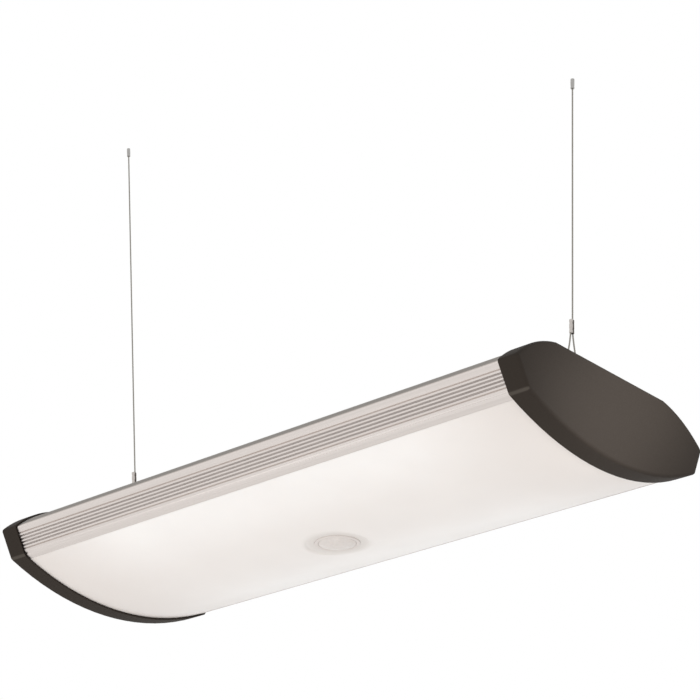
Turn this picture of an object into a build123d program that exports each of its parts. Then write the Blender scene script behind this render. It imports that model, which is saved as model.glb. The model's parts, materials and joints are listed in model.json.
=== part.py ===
from build123d import *

import os
from math import acos, atan2, cos, hypot, radians, sin, sqrt

# A garage light that hangs on two steel cables: a ribbed aluminium body, dark end caps, an opal lens
# with a motion sensor, and the tray, LED boards, driver and leads inside. All sizes are in millimetres.
# +X runs along the light, +Y across it and +Z up. The origin is the centre of the top face.

os.makedirs("parts", exist_ok=True)

# Overall length, and the body section: half widths from the middle and drops below the top face
overall_length = 610.0
top_half = 80.0
rim_half = 135.7
rim_drop = 28.7
shoulder_bulge = 4.5
foot_half = 122.7
foot_drop = 52.8
belly_drop = 79.3
rim_radius = 1.2
foot_radius = 2.0

# Body walls, side grooves and bottom lips
wall = 2.0
side_backing = 2.0
lip_width = 6.6
groove_count = 6
groove_pitch = 3.1
groove_width = 1.4
groove_depth = 1.6
first_groove = 6.5
lip_step_width = 3.4
lip_step_depth = 0.5

# End caps
cap_depth = 20.0
cap_overlap = 8.0
cap_proud = 1.8
cap_fit = 0.2
cap_end_gap = 0.2
cap_face = 2.5
cap_step = 2.2
cap_edge_radius = 3.0
cap_rim_radius = 3.0
cap_foot_radius = 3.0
cap_screw_half = 58.0

# Lens, its edge flanges and the flat recess round the sensor
lens_wall = 2.4
lens_flange = 1.5
lens_slot = 1.9
lens_ledge = 1.5
lens_edge_gap = 0.3
lens_side_gap = 0.6
lens_end_gap = 0.3
flange_lap = 6.0
recess_radius = 31.5
recess_slope = 2.5
recess_depth = 1.7

# Tray and the slots that it slides in
tray_drop = 40.0
tray_sheet = 0.9
tray_clearance = 0.1
tray_side_gap = 0.5
tray_end_gap = 1.0
slot_ledge = 1.2
slot_reach = 6.5

# LED boards
board_offset = 62.0
board_width = 24.0
board_sheet = 1.6
board_end_gap = 20.0
board_screw_inset = 12.0
led_length = 3.5
led_width = 2.8
led_height = 0.7
led_pitch = 18.0
led_margin = 26.0
connector_length = 9.0
connector_width = 8.0
connector_height = 4.2

# Motion sensor
bezel_radius = 21.0
bezel_width = 2.8
bezel_proud = 1.0
bezel_fit = 0.3
bezel_flange = 1.2
sensor_radius = 24.5
sensor_wall = 1.5
dome_fit = 0.2
dome_seat = 1.8
dome_flange = 1.0
dome_wall = 1.0
dome_drop = 3.4
dome_proud = 0.8
sensor_board_rise = 12.0
sensor_board_sheet = 1.6
sensor_board_fit = 0.3
sensor_ledge = 3.0
ear_offset = 31.0
ear_radius = 4.5
ear_height = 3.0
detector_radius = 4.6
detector_height = 4.2
detector_window = 3.0

# LED driver
driver_right = -30.0
driver_length = 160.0
driver_width = 48.0
driver_height = 26.0
driver_sheet = 1.0
driver_ear = 12.0
driver_screw_half = 16.0
driver_flange = 6.0
driver_fit = 0.15
driver_post = 4.0
driver_post_radius = 2.5
driver_post_inset = 6.0
driver_board_sheet = 1.6
driver_board_gap = 2.0
bushing_block_width = 40.0
bushing_block_height = 16.0
bushing_block_proud = 2.0
bushing_block_lip = 1.2
transformer_length = 30.0
transformer_width = 22.0
transformer_height = 15.0
bobbin_length = 18.0
bobbin_width = 28.0
bobbin_height = 11.0
component_pitch = 42.0
capacitor_radius = 5.0
capacitor_height = 14.0
capacitor_pitch = 12.0
choke_radius = 7.0
choke_ring = 3.2
choke_base = 1.5

# Mains terminals and earth
terminal_left = 60.0
terminal_length = 26.0
terminal_height = 14.0
terminal_pitch = 10.0
terminal_poles = 3
terminal_rim = 2.0
terminal_ear = 9.0
terminal_ear_height = 3.0
terminal_hole = 2.2
terminal_depth = 8.0
clamp_well = 4.0
clamp_height = 2.5
clamp_fit = 0.2
earth_x = 36.0
earth_y = 34.0
earth_ring = 4.5
earth_sheet = 0.8
earth_barrel = 7.0
earth_barrel_width = 3.2
earth_barrel_height = 2.6
earth_run = 9.0

# Mains inlet bushing in the top face
inlet_x = 130.0
inlet_bore = 4.5
inlet_neck = 8.8
inlet_fit = 0.2
inlet_flange_radius = 11.5
inlet_flange = 1.8
inlet_tail = 7.0
inlet_barb = 0.7

# Leads: radii, bends and heights above the tray
lead_radius = 0.9
fine_lead_radius = 0.6
lead_bend = 5.0
lead_hole = 6.0
lead_spacing = 4.0
led_lead_y = 8.0
led_lead_run = 13.0
led_hole_y = 40.0
supply_lead_y = 16.0
sensor_lead_pitch = 3.0
supply_run = 12.0
supply_rise = 15.0
sensor_lead_rise = 6.5
led_lead_rise = 11.0
terminal_lead_rise = 7.0

# Hangers: bracket, cable and fittings
hanger_inset = 40.5
ceiling_inset = 61.3
ceiling_hole = 2.8
bracket_sheet = 2.0
bracket_length = 32.0
bracket_depth = 24.0
bracket_screw_pitch = 18.0
bracket_screw_y = 14.0
bracket_bend = 1.0
eye_rise = 12.0
eye_radius = 3.0
eye_rim = 4.0
rope_radius = 0.75
rope_clearance = 0.2
rope_gap = 0.35
splay = radians(3.9)
loop_radius = 6.6
neck_radius = 16.0
ferrule_rise = 35.0
ferrule_length = 13.0
ferrule_wall = 0.9
ferrule_edge = 0.4
stop_radius = 1.8
stop_length = 10.0
cable_reach = {"left": 436.0, "right": 285.5}

# Screws: shank radius, head radius and head height
small_screw = (1.5, 2.8, 1.8)
bracket_screw = (2.0, 4.0, 2.6)
screw_fit = 0.15
cross_slot = 0.8
cross_depth = 0.7
nut_height = 3.2
nut_across = 7.0

# Sizes that follow from those above
body_length = overall_length - 2 * (cap_depth - cap_overlap)
cap_mouth = overall_length / 2 - cap_depth
hanger_x = overall_length / 2 - hanger_inset
ceiling_x = hanger_x - ceiling_inset
lip_edge = foot_half - lip_width
belly_sag = belly_drop - foot_drop
belly_radius = (foot_half**2 + belly_sag**2) / (2 * belly_sag)
belly_centre = belly_radius - belly_drop
side_height = foot_drop - rim_drop
side_length = hypot(rim_half - foot_half, side_height)
side_y = (foot_half - rim_half) / side_length
side_z = -side_height / side_length
shoulder_length = hypot(rim_half - top_half, rim_drop)
shoulder_mid = (
    (top_half + rim_half) / 2 + shoulder_bulge * rim_drop / shoulder_length,
    -rim_drop / 2 + shoulder_bulge * (rim_half - top_half) / shoulder_length,
)
last_groove = first_groove + (groove_count - 1) * groove_pitch
flange_outer = belly_radius - wall - (lens_slot - lens_flange) / 2
ledge_outer = belly_radius - wall - lens_slot
lens_length = body_length - 2 * lens_end_gap
tray_top = -tray_drop
tray_bottom = tray_top - tray_sheet
board_bottom = tray_bottom - board_sheet
board_length = body_length - 2 * board_end_gap
pad_floor = recess_depth - belly_drop
pad_top = pad_floor + lens_wall
flange_top = pad_top + bezel_flange
base_align = (Align.CENTER, Align.CENTER, Align.MIN)
down_align = (Align.CENTER, Align.CENTER, Align.MAX)
sides = {"left": -1, "right": 1}


def side_point(side, along, inward):
    """A point of a slanting side: so far down from the rim and so far in from the outer face."""
    across = rim_half + along * side_y + inward * side_z
    return (side * across, along * side_z - inward * side_y - rim_drop)


def side_half(height, inward):
    """The half width of the body at a height, on a face so far in from the outer side."""
    along = (-rim_drop - height) / side_height * side_length
    return rim_half + along * side_y + inward / side_z


def belly_point(radius, across):
    """A point at a half width on a curve that is concentric with the belly."""
    return (across, belly_centre - sqrt(radius**2 - across**2))


def side_strip(side, start, end, outer, inner):
    """A four-cornered patch of a side wall, between two places along it and two depths."""
    with BuildSketch() as strip:
        with BuildLine():
            Polyline(
                side_point(side, start, outer),
                side_point(side, end, outer),
                side_point(side, end, inner),
                side_point(side, start, inner),
                close=True,
            )
        make_face()
    return strip.sketch


def belly_band(outer, thickness, start, end):
    """A strip that follows the belly between two half widths."""
    inner = outer - thickness
    middle = (start + end) / 2
    with BuildSketch() as band:
        with BuildLine():
            ThreePointArc(belly_point(outer, start), belly_point(outer, middle), belly_point(outer, end))
            Line(belly_point(outer, end), belly_point(inner, end))
            ThreePointArc(belly_point(inner, end), belly_point(inner, middle), belly_point(inner, start))
            Line(belly_point(inner, start), belly_point(outer, start))
        make_face()
    return band.sketch


def pan_screw(seat, sizes, length):
    """A pan-head screw with a cross recess: the head stands on the seat and the shank goes through it."""
    shank, head, height = sizes
    with BuildPart(seat) as screw:
        Cylinder(head, height, align=base_align)
        fillet(screw.edges().sort_by(Axis(seat.origin, seat.z_dir))[-1], height / 2)
        Cylinder(shank, length, align=down_align)
        with Locations((0, 0, height)):
            Box(head, cross_slot, 2 * cross_depth, mode=Mode.SUBTRACT)
            Box(cross_slot, head, 2 * cross_depth, mode=Mode.SUBTRACT)
    return screw.part


def lead(points, radius):
    """A round lead along straight runs with tangent bends."""
    with BuildPart() as tube:
        with BuildLine() as path:
            FilletPolyline(*points, radius=lead_bend)
        with BuildSketch(Plane(origin=path.line @ 0, z_dir=path.line % 0)):
            Circle(radius)
        sweep()
    return tube.part


# Sections of the body and of the end caps, seen along the light
with BuildSketch() as body_section:
    with BuildLine():
        Line((-top_half, 0), (top_half, 0))
        for side in sides.values():
            ThreePointArc(
                (side * top_half, 0),
                (side * shoulder_mid[0], shoulder_mid[1]),
                (side * rim_half, -rim_drop),
            )
            Line((side * rim_half, -rim_drop), (side * foot_half, -foot_drop))
        ThreePointArc((-foot_half, -foot_drop), (0, -belly_drop), (foot_half, -foot_drop))
    make_face()

with BuildSketch() as cap_section:
    add(body_section.sketch)
    offset(amount=cap_proud, kind=Kind.INTERSECTION)
    fillet(cap_section.vertices().group_by(Axis.Y)[1], cap_rim_radius)
    fillet(cap_section.vertices().group_by(Axis.Y)[0], cap_foot_radius)

# Where the tray lies: its slots are cut in ledges on the inside of the sides
slot_top = tray_top + tray_clearance
slot_bottom = tray_bottom - tray_clearance
backing = wall + side_backing
slot_half = min(side_half(slot_top, backing), side_half(slot_bottom, backing))
tray_half = slot_half - tray_side_gap
ledge_half = tray_half - slot_reach

with BuildSketch() as housing_section:
    add(body_section.sketch)
    offset(amount=-wall, kind=Kind.INTERSECTION, mode=Mode.SUBTRACT)
    with Locations((0, -belly_drop)):
        Rectangle(2 * lip_edge, 2 * belly_sag, mode=Mode.SUBTRACT)
    for side in sides.values():
        backing_ends = (first_groove - groove_pitch, last_groove + groove_pitch / 2)
        add(side_strip(side, *backing_ends, wall / 2, backing))
        add(belly_band(ledge_outer, lens_ledge, side * lip_edge, side * rim_half))
        for height in (slot_top + slot_ledge / 2, slot_bottom - slot_ledge / 2):
            with Locations((side * (ledge_half + rim_half) / 2, height)):
                Rectangle(rim_half - ledge_half, slot_ledge)
    add(body_section.sketch, mode=Mode.INTERSECT)
    for side in sides.values():
        for groove in range(groove_count):
            middle = first_groove + groove * groove_pitch
            edges = (middle - groove_width / 2, middle + groove_width / 2)
            add(side_strip(side, *edges, -wall, groove_depth), mode=Mode.SUBTRACT)
        lip_step = (last_groove, last_groove + lip_step_width)
        add(side_strip(side, *lip_step, -wall, lip_step_depth), mode=Mode.SUBTRACT)
        rim = housing_section.vertices().sort_by_distance((side * rim_half, -rim_drop))[0]
        fillet(rim, rim_radius)
        foot = housing_section.vertices().sort_by_distance((side * foot_half, -foot_drop))[0]
        fillet(foot, foot_radius)

# Places of the screws and holes in the top face
cap_screw_x = cap_mouth + cap_overlap / 2
cap_screws = [(x * cap_screw_x, y * cap_screw_half) for x in (-1, 1) for y in (-1, 1)]
bracket_screws = [
    (side * hanger_x + end * bracket_screw_pitch / 2, bracket_screw_y)
    for side in sides.values()
    for end in (-1, 1)
]
ceiling_holes = [(-ceiling_x, 0), (ceiling_x, 0)]

with BuildPart() as housing:
    with BuildSketch(Plane.YZ.offset(-body_length / 2)):
        add(housing_section.sketch)
    extrude(amount=body_length)
    with Locations(*[(x, y, 0) for x, y in cap_screws]):
        Hole(small_screw[0] + screw_fit, 2 * wall)
    with Locations(*[(x, y, 0) for x, y in bracket_screws]):
        Hole(bracket_screw[0] + screw_fit, 2 * wall)
    with Locations(*[(x, y, 0) for x, y in ceiling_holes]):
        Hole(ceiling_hole, 2 * wall)
    with Locations((inlet_x, 0, 0)):
        Hole(inlet_neck + inlet_fit, 2 * wall)
housing.part.label = "housing"
export_step(housing.part, "parts/housing.step")

# End caps: a closed cup that slips over the body's end as far as an inner step
with BuildPart() as right_end_cap:
    with BuildSketch(Plane.YZ.offset(cap_mouth)):
        add(cap_section.sketch)
    extrude(amount=cap_depth)
    fillet(right_end_cap.faces().sort_by(Axis.X)[-1].edges(), cap_edge_radius)
    with BuildSketch(Plane.YZ.offset(cap_mouth)):
        add(body_section.sketch)
        offset(amount=cap_fit, kind=Kind.INTERSECTION)
    extrude(amount=cap_overlap + cap_end_gap, mode=Mode.SUBTRACT)
    with BuildSketch(Plane.YZ.offset(cap_mouth + cap_overlap)):
        add(body_section.sketch)
        offset(amount=-cap_step, kind=Kind.INTERSECTION)
    extrude(amount=cap_depth - cap_overlap - cap_face, mode=Mode.SUBTRACT)
    with Locations(*[(x, y, cap_proud) for x, y in cap_screws if x > 0]):
        Hole(small_screw[0] + screw_fit, 2 * cap_proud)
right_end_cap.part.label = "right_end_cap"
export_step(right_end_cap.part, "parts/right_end_cap.step")

with BuildPart() as left_end_cap:
    mirror(right_end_cap.part, about=Plane.YZ)
left_end_cap.part.label = "left_end_cap"
export_step(left_end_cap.part, "parts/left_end_cap.step")

with BuildPart() as end_cap_screws:
    for x, y in cap_screws:
        add(pan_screw(Plane((x, y, cap_proud)), small_screw, cap_proud + 2 * wall))
end_cap_screws.part.label = "end_cap_screws"
export_step(end_cap_screws.part, "parts/end_cap_screws.step")

# Lens: it snaps in behind the lips by its flanges, and a flat pad in the middle takes the sensor
flange_half = side_point(1, side_length, wall)[0] - lens_side_gap
lens_half = lip_edge - lens_edge_gap
with BuildPart() as lens:
    with BuildSketch(Plane.YZ.offset(-lens_length / 2)):
        add(belly_band(belly_radius, lens_wall, -lens_half, lens_half))
        for side in sides.values():
            lap = side * (lens_half - flange_lap)
            add(belly_band(flange_outer, lens_flange, lap, side * flange_half))
            add(belly_band(belly_radius, wall + lens_flange, lap, side * lens_half))
    extrude(amount=lens_length)
    with BuildSketch(Plane.XY.offset(pad_floor)):
        Circle(recess_radius + lens_wall)
    extrude(amount=lens_wall)
    with Locations((0, 0, pad_floor)):
        Cone(
            recess_radius,
            recess_radius - recess_slope,
            recess_depth,
            align=down_align,
            mode=Mode.SUBTRACT,
        )
        Cylinder(bezel_radius + bezel_fit, 2 * lens_wall, mode=Mode.SUBTRACT)
lens.part.label = "lens"
export_step(lens.part, "parts/lens.step")

# Tray: a flat sheet in the body's slots, which carries everything inside
tray_length = body_length - 2 * tray_end_gap
tray_screw_hole = small_screw[0] + screw_fit
led_count = int((board_length - 2 * led_margin) / led_pitch) + 1
board_screw_x = board_length / 2 - board_screw_inset
between_leds = led_pitch / 2 * (led_count % 2)
board_screws = [
    (x, y * board_offset) for y in (-1, 1) for x in (-board_screw_x, between_leds, board_screw_x)
]
ear_screws = [(0, -ear_offset), (0, ear_offset)]
driver_left = driver_right - driver_length
driver_middle = (driver_left + driver_right) / 2
driver_screw_x = driver_length / 2 + driver_ear / 2
driver_screws = [
    (driver_middle + x * driver_screw_x, y * driver_screw_half) for x in (-1, 1) for y in (-1, 1)
]
terminal_x = terminal_left + terminal_length / 2
terminal_half = terminal_poles * terminal_pitch / 2 + terminal_rim
terminal_screws = [(terminal_x, side * (terminal_half + terminal_ear / 2)) for side in (-1, 1)]
left_bushing = driver_left - bushing_block_proud
right_bushing = driver_right + bushing_block_proud
connector_x = left_bushing - led_lead_run
lead_holes = [(0, 0), (connector_x, -led_hole_y), (connector_x, led_hole_y)]
tray_screws = board_screws + ear_screws + driver_screws + terminal_screws + [(earth_x, earth_y)]
with BuildPart() as tray:
    with BuildSketch(Plane.XY.offset(tray_bottom)):
        Rectangle(tray_length, 2 * tray_half)
        with Locations(*tray_screws):
            Circle(tray_screw_hole, mode=Mode.SUBTRACT)
        with Locations(*lead_holes):
            Circle(lead_hole, mode=Mode.SUBTRACT)
    extrude(amount=tray_sheet)
tray.part.label = "tray"
export_step(tray.part, "parts/tray.step")

# LED boards under the tray, with their LEDs, connectors and screws
connector_y = board_offset - board_width / 2 + connector_width / 2
for name, side in (("front", -1), ("rear", 1)):
    with BuildPart() as led_board:
        with BuildSketch(Plane.XY.offset(board_bottom)):
            with Locations((0, side * board_offset)):
                Rectangle(board_length, board_width)
            with Locations(*[(x, y) for x, y in board_screws if y * side > 0]):
                Circle(tray_screw_hole, mode=Mode.SUBTRACT)
        extrude(amount=board_sheet)
    led_board.part.label = f"{name}_led_board"
    export_step(led_board.part, f"parts/{name}_led_board.step")

    with BuildPart() as leds:
        with Locations((0, side * board_offset, board_bottom)):
            with GridLocations(led_pitch, led_width, led_count, 1):
                Box(led_length, led_width, led_height, align=down_align)
    leds.part.label = f"{name}_leds"
    export_step(leds.part, f"parts/{name}_leds.step")

with BuildPart() as board_connectors:
    with Locations(*[(connector_x, side * connector_y, board_bottom) for side in (-1, 1)]):
        Box(connector_length, connector_width, connector_height, align=down_align)
    chamfer(board_connectors.faces().sort_by(Axis.Z)[:2].edges(), connector_height / 8)
board_connectors.part.label = "board_connectors"
export_step(board_connectors.part, "parts/board_connectors.step")

with BuildPart() as board_screw_set:
    for x, y in board_screws:
        seat = Plane((x, y, board_bottom), z_dir=(0, 0, -1))
        add(pan_screw(seat, small_screw, board_sheet + 3 * tray_sheet))
board_screw_set.part.label = "board_screws"
export_step(board_screw_set.part, "parts/board_screws.step")

# Motion sensor: bezel and dome in the lens, held down by a holder that hangs from the tray
dome_radius = bezel_radius - bezel_width - dome_fit
dome_seat_radius = dome_radius + dome_seat
dome_seat_height = flange_top - dome_flange
dome_edge = pad_floor - dome_proud
dome_bottom = dome_edge - dome_drop
dome_curve = (dome_radius**2 + dome_drop**2) / (2 * dome_drop)
dome_inner = dome_radius - dome_wall


def dome_point(radius, rise):
    """A point of the dome's curve at a radius, raised towards the inside."""
    return (radius, dome_bottom + rise + dome_curve - sqrt(dome_curve**2 - radius**2))


with BuildPart() as sensor_bezel:
    with BuildSketch(Plane.XZ):
        with BuildLine():
            Polyline(
                (bezel_radius - bezel_width, pad_floor - bezel_proud),
                (bezel_radius, pad_floor - bezel_proud),
                (bezel_radius, pad_top),
                (sensor_radius, pad_top),
                (sensor_radius, flange_top),
                (dome_seat_radius + dome_fit, flange_top),
                (dome_seat_radius + dome_fit, dome_seat_height),
                (bezel_radius - bezel_width, dome_seat_height),
                close=True,
            )
        make_face()
    revolve(axis=Axis.Z)
    fillet(sensor_bezel.faces().sort_by(Axis.Z)[0].edges(), bezel_proud / 2)
sensor_bezel.part.label = "sensor_bezel"
export_step(sensor_bezel.part, "parts/sensor_bezel.step")

with BuildPart() as sensor_dome:
    with BuildSketch(Plane.XZ):
        with BuildLine():
            ThreePointArc(dome_point(0, 0), dome_point(dome_radius / 2, 0), dome_point(dome_radius, 0))
            Polyline(
                dome_point(dome_radius, 0),
                (dome_radius, dome_seat_height),
                (dome_seat_radius, dome_seat_height),
                (dome_seat_radius, flange_top),
                (dome_inner, flange_top),
                dome_point(dome_inner, dome_wall),
            )
            ThreePointArc(
                dome_point(dome_inner, dome_wall),
                dome_point(dome_inner / 2, dome_wall),
                dome_point(0, dome_wall),
            )
            Line(dome_point(0, dome_wall), dome_point(0, 0))
        make_face()
    revolve(axis=Axis.Z)
sensor_dome.part.label = "sensor_dome"
export_step(sensor_dome.part, "parts/sensor_dome.step")

holder_bore = sensor_radius - sensor_wall
ear_root = sensor_radius - sensor_wall / 2
sensor_board_bottom = flange_top + sensor_board_rise
sensor_board_top = sensor_board_bottom + sensor_board_sheet
with BuildPart() as sensor_holder:
    with BuildSketch(Plane.XZ):
        with BuildLine():
            Polyline(
                (dome_inner, flange_top),
                (sensor_radius, flange_top),
                (sensor_radius, tray_bottom),
                (holder_bore, tray_bottom),
                (holder_bore, sensor_board_bottom),
                (holder_bore - sensor_ledge, sensor_board_bottom),
                (holder_bore - sensor_ledge, sensor_board_bottom - sensor_wall),
                (holder_bore, sensor_board_bottom - sensor_wall),
                (holder_bore, flange_top + sensor_wall),
                (dome_inner, flange_top + sensor_wall),
                close=True,
            )
        make_face()
    revolve(axis=Axis.Z)
    with BuildSketch(Plane.XY.offset(tray_bottom)):
        with Locations(*ear_screws):
            Circle(ear_radius)
        with Locations((0, -(ear_offset + ear_root) / 2), (0, (ear_offset + ear_root) / 2)):
            Rectangle(2 * ear_radius, ear_offset - ear_root)
        with Locations(*ear_screws):
            Circle(tray_screw_hole, mode=Mode.SUBTRACT)
    extrude(amount=-ear_height)
sensor_holder.part.label = "sensor_holder"
export_step(sensor_holder.part, "parts/sensor_holder.step")

with BuildPart() as sensor_screws:
    for x, y in ear_screws:
        seat = Plane((x, y, tray_bottom - ear_height), z_dir=(0, 0, -1))
        add(pan_screw(seat, small_screw, ear_height + 3 * tray_sheet))
sensor_screws.part.label = "sensor_screws"
export_step(sensor_screws.part, "parts/sensor_screws.step")

with BuildPart() as sensor_board:
    with BuildSketch(Plane.XY.offset(sensor_board_bottom)):
        Circle(holder_bore - sensor_board_fit)
    extrude(amount=sensor_board_sheet)
sensor_board.part.label = "sensor_board"
export_step(sensor_board.part, "parts/sensor_board.step")

with BuildPart() as infrared_detector:
    with BuildSketch(Plane.XY.offset(sensor_board_bottom)):
        Circle(detector_radius)
    extrude(amount=-detector_height)
    fillet(infrared_detector.edges().sort_by(Axis.Z)[0], detector_height / 8)
    with BuildSketch(Plane.XY.offset(sensor_board_bottom - detector_height)):
        Rectangle(detector_window, detector_window)
    extrude(amount=detector_height / 10, mode=Mode.SUBTRACT)
infrared_detector.part.label = "infrared_detector"
export_step(infrared_detector.part, "parts/infrared_detector.step")

# LED driver: a base with ears, a cover, a circuit board and what stands on it
base_top = tray_top + driver_sheet
cover_half = driver_width / 2 - driver_sheet
flange_y = cover_half - driver_fit - driver_sheet / 2
driver_board_bottom = base_top + driver_post
driver_board_top = driver_board_bottom + driver_board_sheet
driver_board_length = driver_length - 2 * (2 * driver_sheet + bushing_block_lip + driver_board_gap)
driver_board_width = 2 * (flange_y - driver_sheet / 2 - driver_board_gap)
post_x = driver_board_length - 2 * driver_post_inset
post_y = driver_board_width - 2 * driver_post_inset
with BuildPart() as driver_base:
    with BuildSketch(Plane.XY.offset(tray_top)):
        with Locations((driver_middle, 0)):
            Rectangle(driver_length + 2 * driver_ear, driver_width)
        with Locations(*driver_screws):
            Circle(tray_screw_hole, mode=Mode.SUBTRACT)
    extrude(amount=driver_sheet)
    with BuildSketch(Plane.XY.offset(base_top)):
        with Locations((driver_middle, -flange_y), (driver_middle, flange_y)):
            Rectangle(driver_board_length, driver_sheet)
    extrude(amount=driver_flange)
    with Locations((driver_middle, 0, base_top)):
        with GridLocations(post_x, post_y, 2, 2):
            Cylinder(driver_post_radius, driver_post, align=base_align)
driver_base.part.label = "driver_base"
export_step(driver_base.part, "parts/driver_base.step")

block_middle = base_top + (driver_height - driver_sheet) / 2
ends = [
    Plane((driver_left, 0, block_middle), (0, -1, 0), (-1, 0, 0)),
    Plane((driver_right, 0, block_middle), (0, 1, 0), (1, 0, 0)),
]
with BuildPart() as driver_cover:
    with BuildSketch(Plane.XY.offset(base_top)):
        with Locations((driver_middle, 0)):
            Rectangle(driver_length, driver_width)
    extrude(amount=driver_height - driver_sheet)
    fillet(driver_cover.faces().sort_by(Axis.Z)[-1].edges(), driver_sheet)
    with BuildSketch(Plane.XY.offset(base_top)):
        with Locations((driver_middle, 0)):
            Rectangle(driver_length - 2 * driver_sheet, 2 * cover_half)
    extrude(amount=driver_height - 2 * driver_sheet, mode=Mode.SUBTRACT)
    for end in ends:
        with BuildSketch(end):
            Rectangle(bushing_block_width + 2 * driver_fit, bushing_block_height + 2 * driver_fit)
        extrude(amount=-2 * driver_sheet, mode=Mode.SUBTRACT)
driver_cover.part.label = "driver_cover"
export_step(driver_cover.part, "parts/driver_cover.step")

with BuildPart() as driver_bushings:
    for end in ends:
        with BuildSketch(end.offset(bushing_block_proud)):
            Rectangle(bushing_block_width, bushing_block_height)
        extrude(amount=-bushing_block_proud - 2 * driver_sheet)
        with BuildSketch(end.offset(-driver_sheet)):
            Rectangle(bushing_block_width, bushing_block_height)
            offset(amount=bushing_block_lip, kind=Kind.INTERSECTION)
        extrude(amount=-bushing_block_lip)
driver_bushings.part.label = "driver_bushings"
export_step(driver_bushings.part, "parts/driver_bushings.step")

with BuildPart() as driver_board:
    with BuildSketch(Plane.XY.offset(driver_board_bottom)):
        with Locations((driver_middle, 0)):
            Rectangle(driver_board_length, driver_board_width)
    extrude(amount=driver_board_sheet)
driver_board.part.label = "driver_board"
export_step(driver_board.part, "parts/driver_board.step")

with BuildPart() as driver_transformer:
    with Locations((driver_middle, 0, driver_board_top)):
        Box(transformer_length, transformer_width, transformer_height, align=base_align)
        Box(bobbin_length, bobbin_width, bobbin_height, align=base_align)
driver_transformer.part.label = "driver_transformer"
export_step(driver_transformer.part, "parts/driver_transformer.step")

with BuildPart() as driver_capacitors:
    with Locations((driver_middle - component_pitch, 0, driver_board_top)):
        with GridLocations(capacitor_pitch, capacitor_pitch, 1, 3):
            Cylinder(capacitor_radius, capacitor_height, align=base_align)
    fillet(driver_capacitors.faces().group_by(Axis.Z)[-1].edges(), capacitor_radius / 8)
driver_capacitors.part.label = "driver_capacitors"
export_step(driver_capacitors.part, "parts/driver_capacitors.step")

with BuildPart() as driver_choke:
    with Locations((driver_middle + component_pitch, 0, driver_board_top)):
        Cylinder(choke_radius + choke_ring, choke_base, align=base_align)
    with Locations((driver_middle + component_pitch, 0, driver_board_top + choke_base / 2 + choke_ring)):
        Torus(choke_radius, choke_ring)
driver_choke.part.label = "driver_choke"
export_step(driver_choke.part, "parts/driver_choke.step")

with BuildPart() as driver_screw_set:
    for x, y in driver_screws:
        add(pan_screw(Plane((x, y, base_top)), small_screw, driver_sheet + 3 * tray_sheet))
driver_screw_set.part.label = "driver_screws"
export_step(driver_screw_set.part, "parts/driver_screws.step")

# Mains terminal block: the leads to the driver meet its left side, and its right side is free
terminal_top = tray_top + terminal_height
poles = [(pole - (terminal_poles - 1) / 2) * terminal_pitch for pole in range(terminal_poles)]
with BuildPart() as terminal_block:
    with BuildSketch(Plane.XY.offset(tray_top)):
        with Locations((terminal_x, 0)):
            Rectangle(terminal_length, 2 * terminal_half)
    extrude(amount=terminal_height)
    fillet(terminal_block.faces().sort_by(Axis.Z)[-1].edges(), terminal_rim / 4)
    with BuildSketch(Plane.XY.offset(tray_top)):
        with Locations((terminal_x, 0)):
            Rectangle(2 * terminal_ear, 2 * (terminal_half + terminal_ear))
        with Locations(*terminal_screws):
            Circle(tray_screw_hole, mode=Mode.SUBTRACT)
    extrude(amount=terminal_ear_height)
    with Locations(*[(terminal_x, y, terminal_top) for y in poles]):
        Hole(terminal_hole + clamp_fit, clamp_well)
    with BuildSketch(Plane.YZ.offset(terminal_left + terminal_length)):
        with Locations(*[(y, tray_top + terminal_lead_rise) for y in poles]):
            Circle(terminal_hole)
    extrude(amount=-terminal_depth, mode=Mode.SUBTRACT)
terminal_block.part.label = "terminal_block"
export_step(terminal_block.part, "parts/terminal_block.step")

with BuildPart() as terminal_clamps:
    with BuildSketch(Plane.XY.offset(terminal_top - clamp_well)):
        with Locations(*[(terminal_x, y) for y in poles]):
            Circle(terminal_hole)
    extrude(amount=clamp_height)
    with BuildSketch(Plane.XY.offset(terminal_top - clamp_well + clamp_height)):
        with Locations(*[(terminal_x, y) for y in poles]):
            Rectangle(2 * terminal_hole, cross_slot)
    extrude(amount=-cross_depth, mode=Mode.SUBTRACT)
terminal_clamps.part.label = "terminal_clamps"
export_step(terminal_clamps.part, "parts/terminal_clamps.step")

with BuildPart() as terminal_screw_set:
    for x, y in terminal_screws:
        seat = Plane((x, y, tray_top + terminal_ear_height))
        add(pan_screw(seat, small_screw, terminal_ear_height + 3 * tray_sheet))
terminal_screw_set.part.label = "terminal_screws"
export_step(terminal_screw_set.part, "parts/terminal_screws.step")

barrel_end = earth_y - earth_ring - earth_barrel
with BuildPart() as earth_tag:
    with BuildSketch(Plane.XY.offset(tray_top)):
        with Locations((earth_x, earth_y)):
            Circle(earth_ring)
            Circle(tray_screw_hole, mode=Mode.SUBTRACT)
    extrude(amount=earth_sheet)
    with Locations((earth_x, barrel_end, tray_top)):
        Box(
            earth_barrel_width,
            earth_barrel + small_screw[0] / 2,
            earth_barrel_height,
            align=(Align.CENTER, Align.MIN, Align.MIN),
        )
earth_tag.part.label = "earth_tag"
export_step(earth_tag.part, "parts/earth_tag.step")

with BuildPart() as earth_screw:
    seat = Plane((earth_x, earth_y, tray_top + earth_sheet))
    add(pan_screw(seat, small_screw, earth_sheet + 3 * tray_sheet))
earth_screw.part.label = "earth_screw"
export_step(earth_screw.part, "parts/earth_screw.step")

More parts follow.
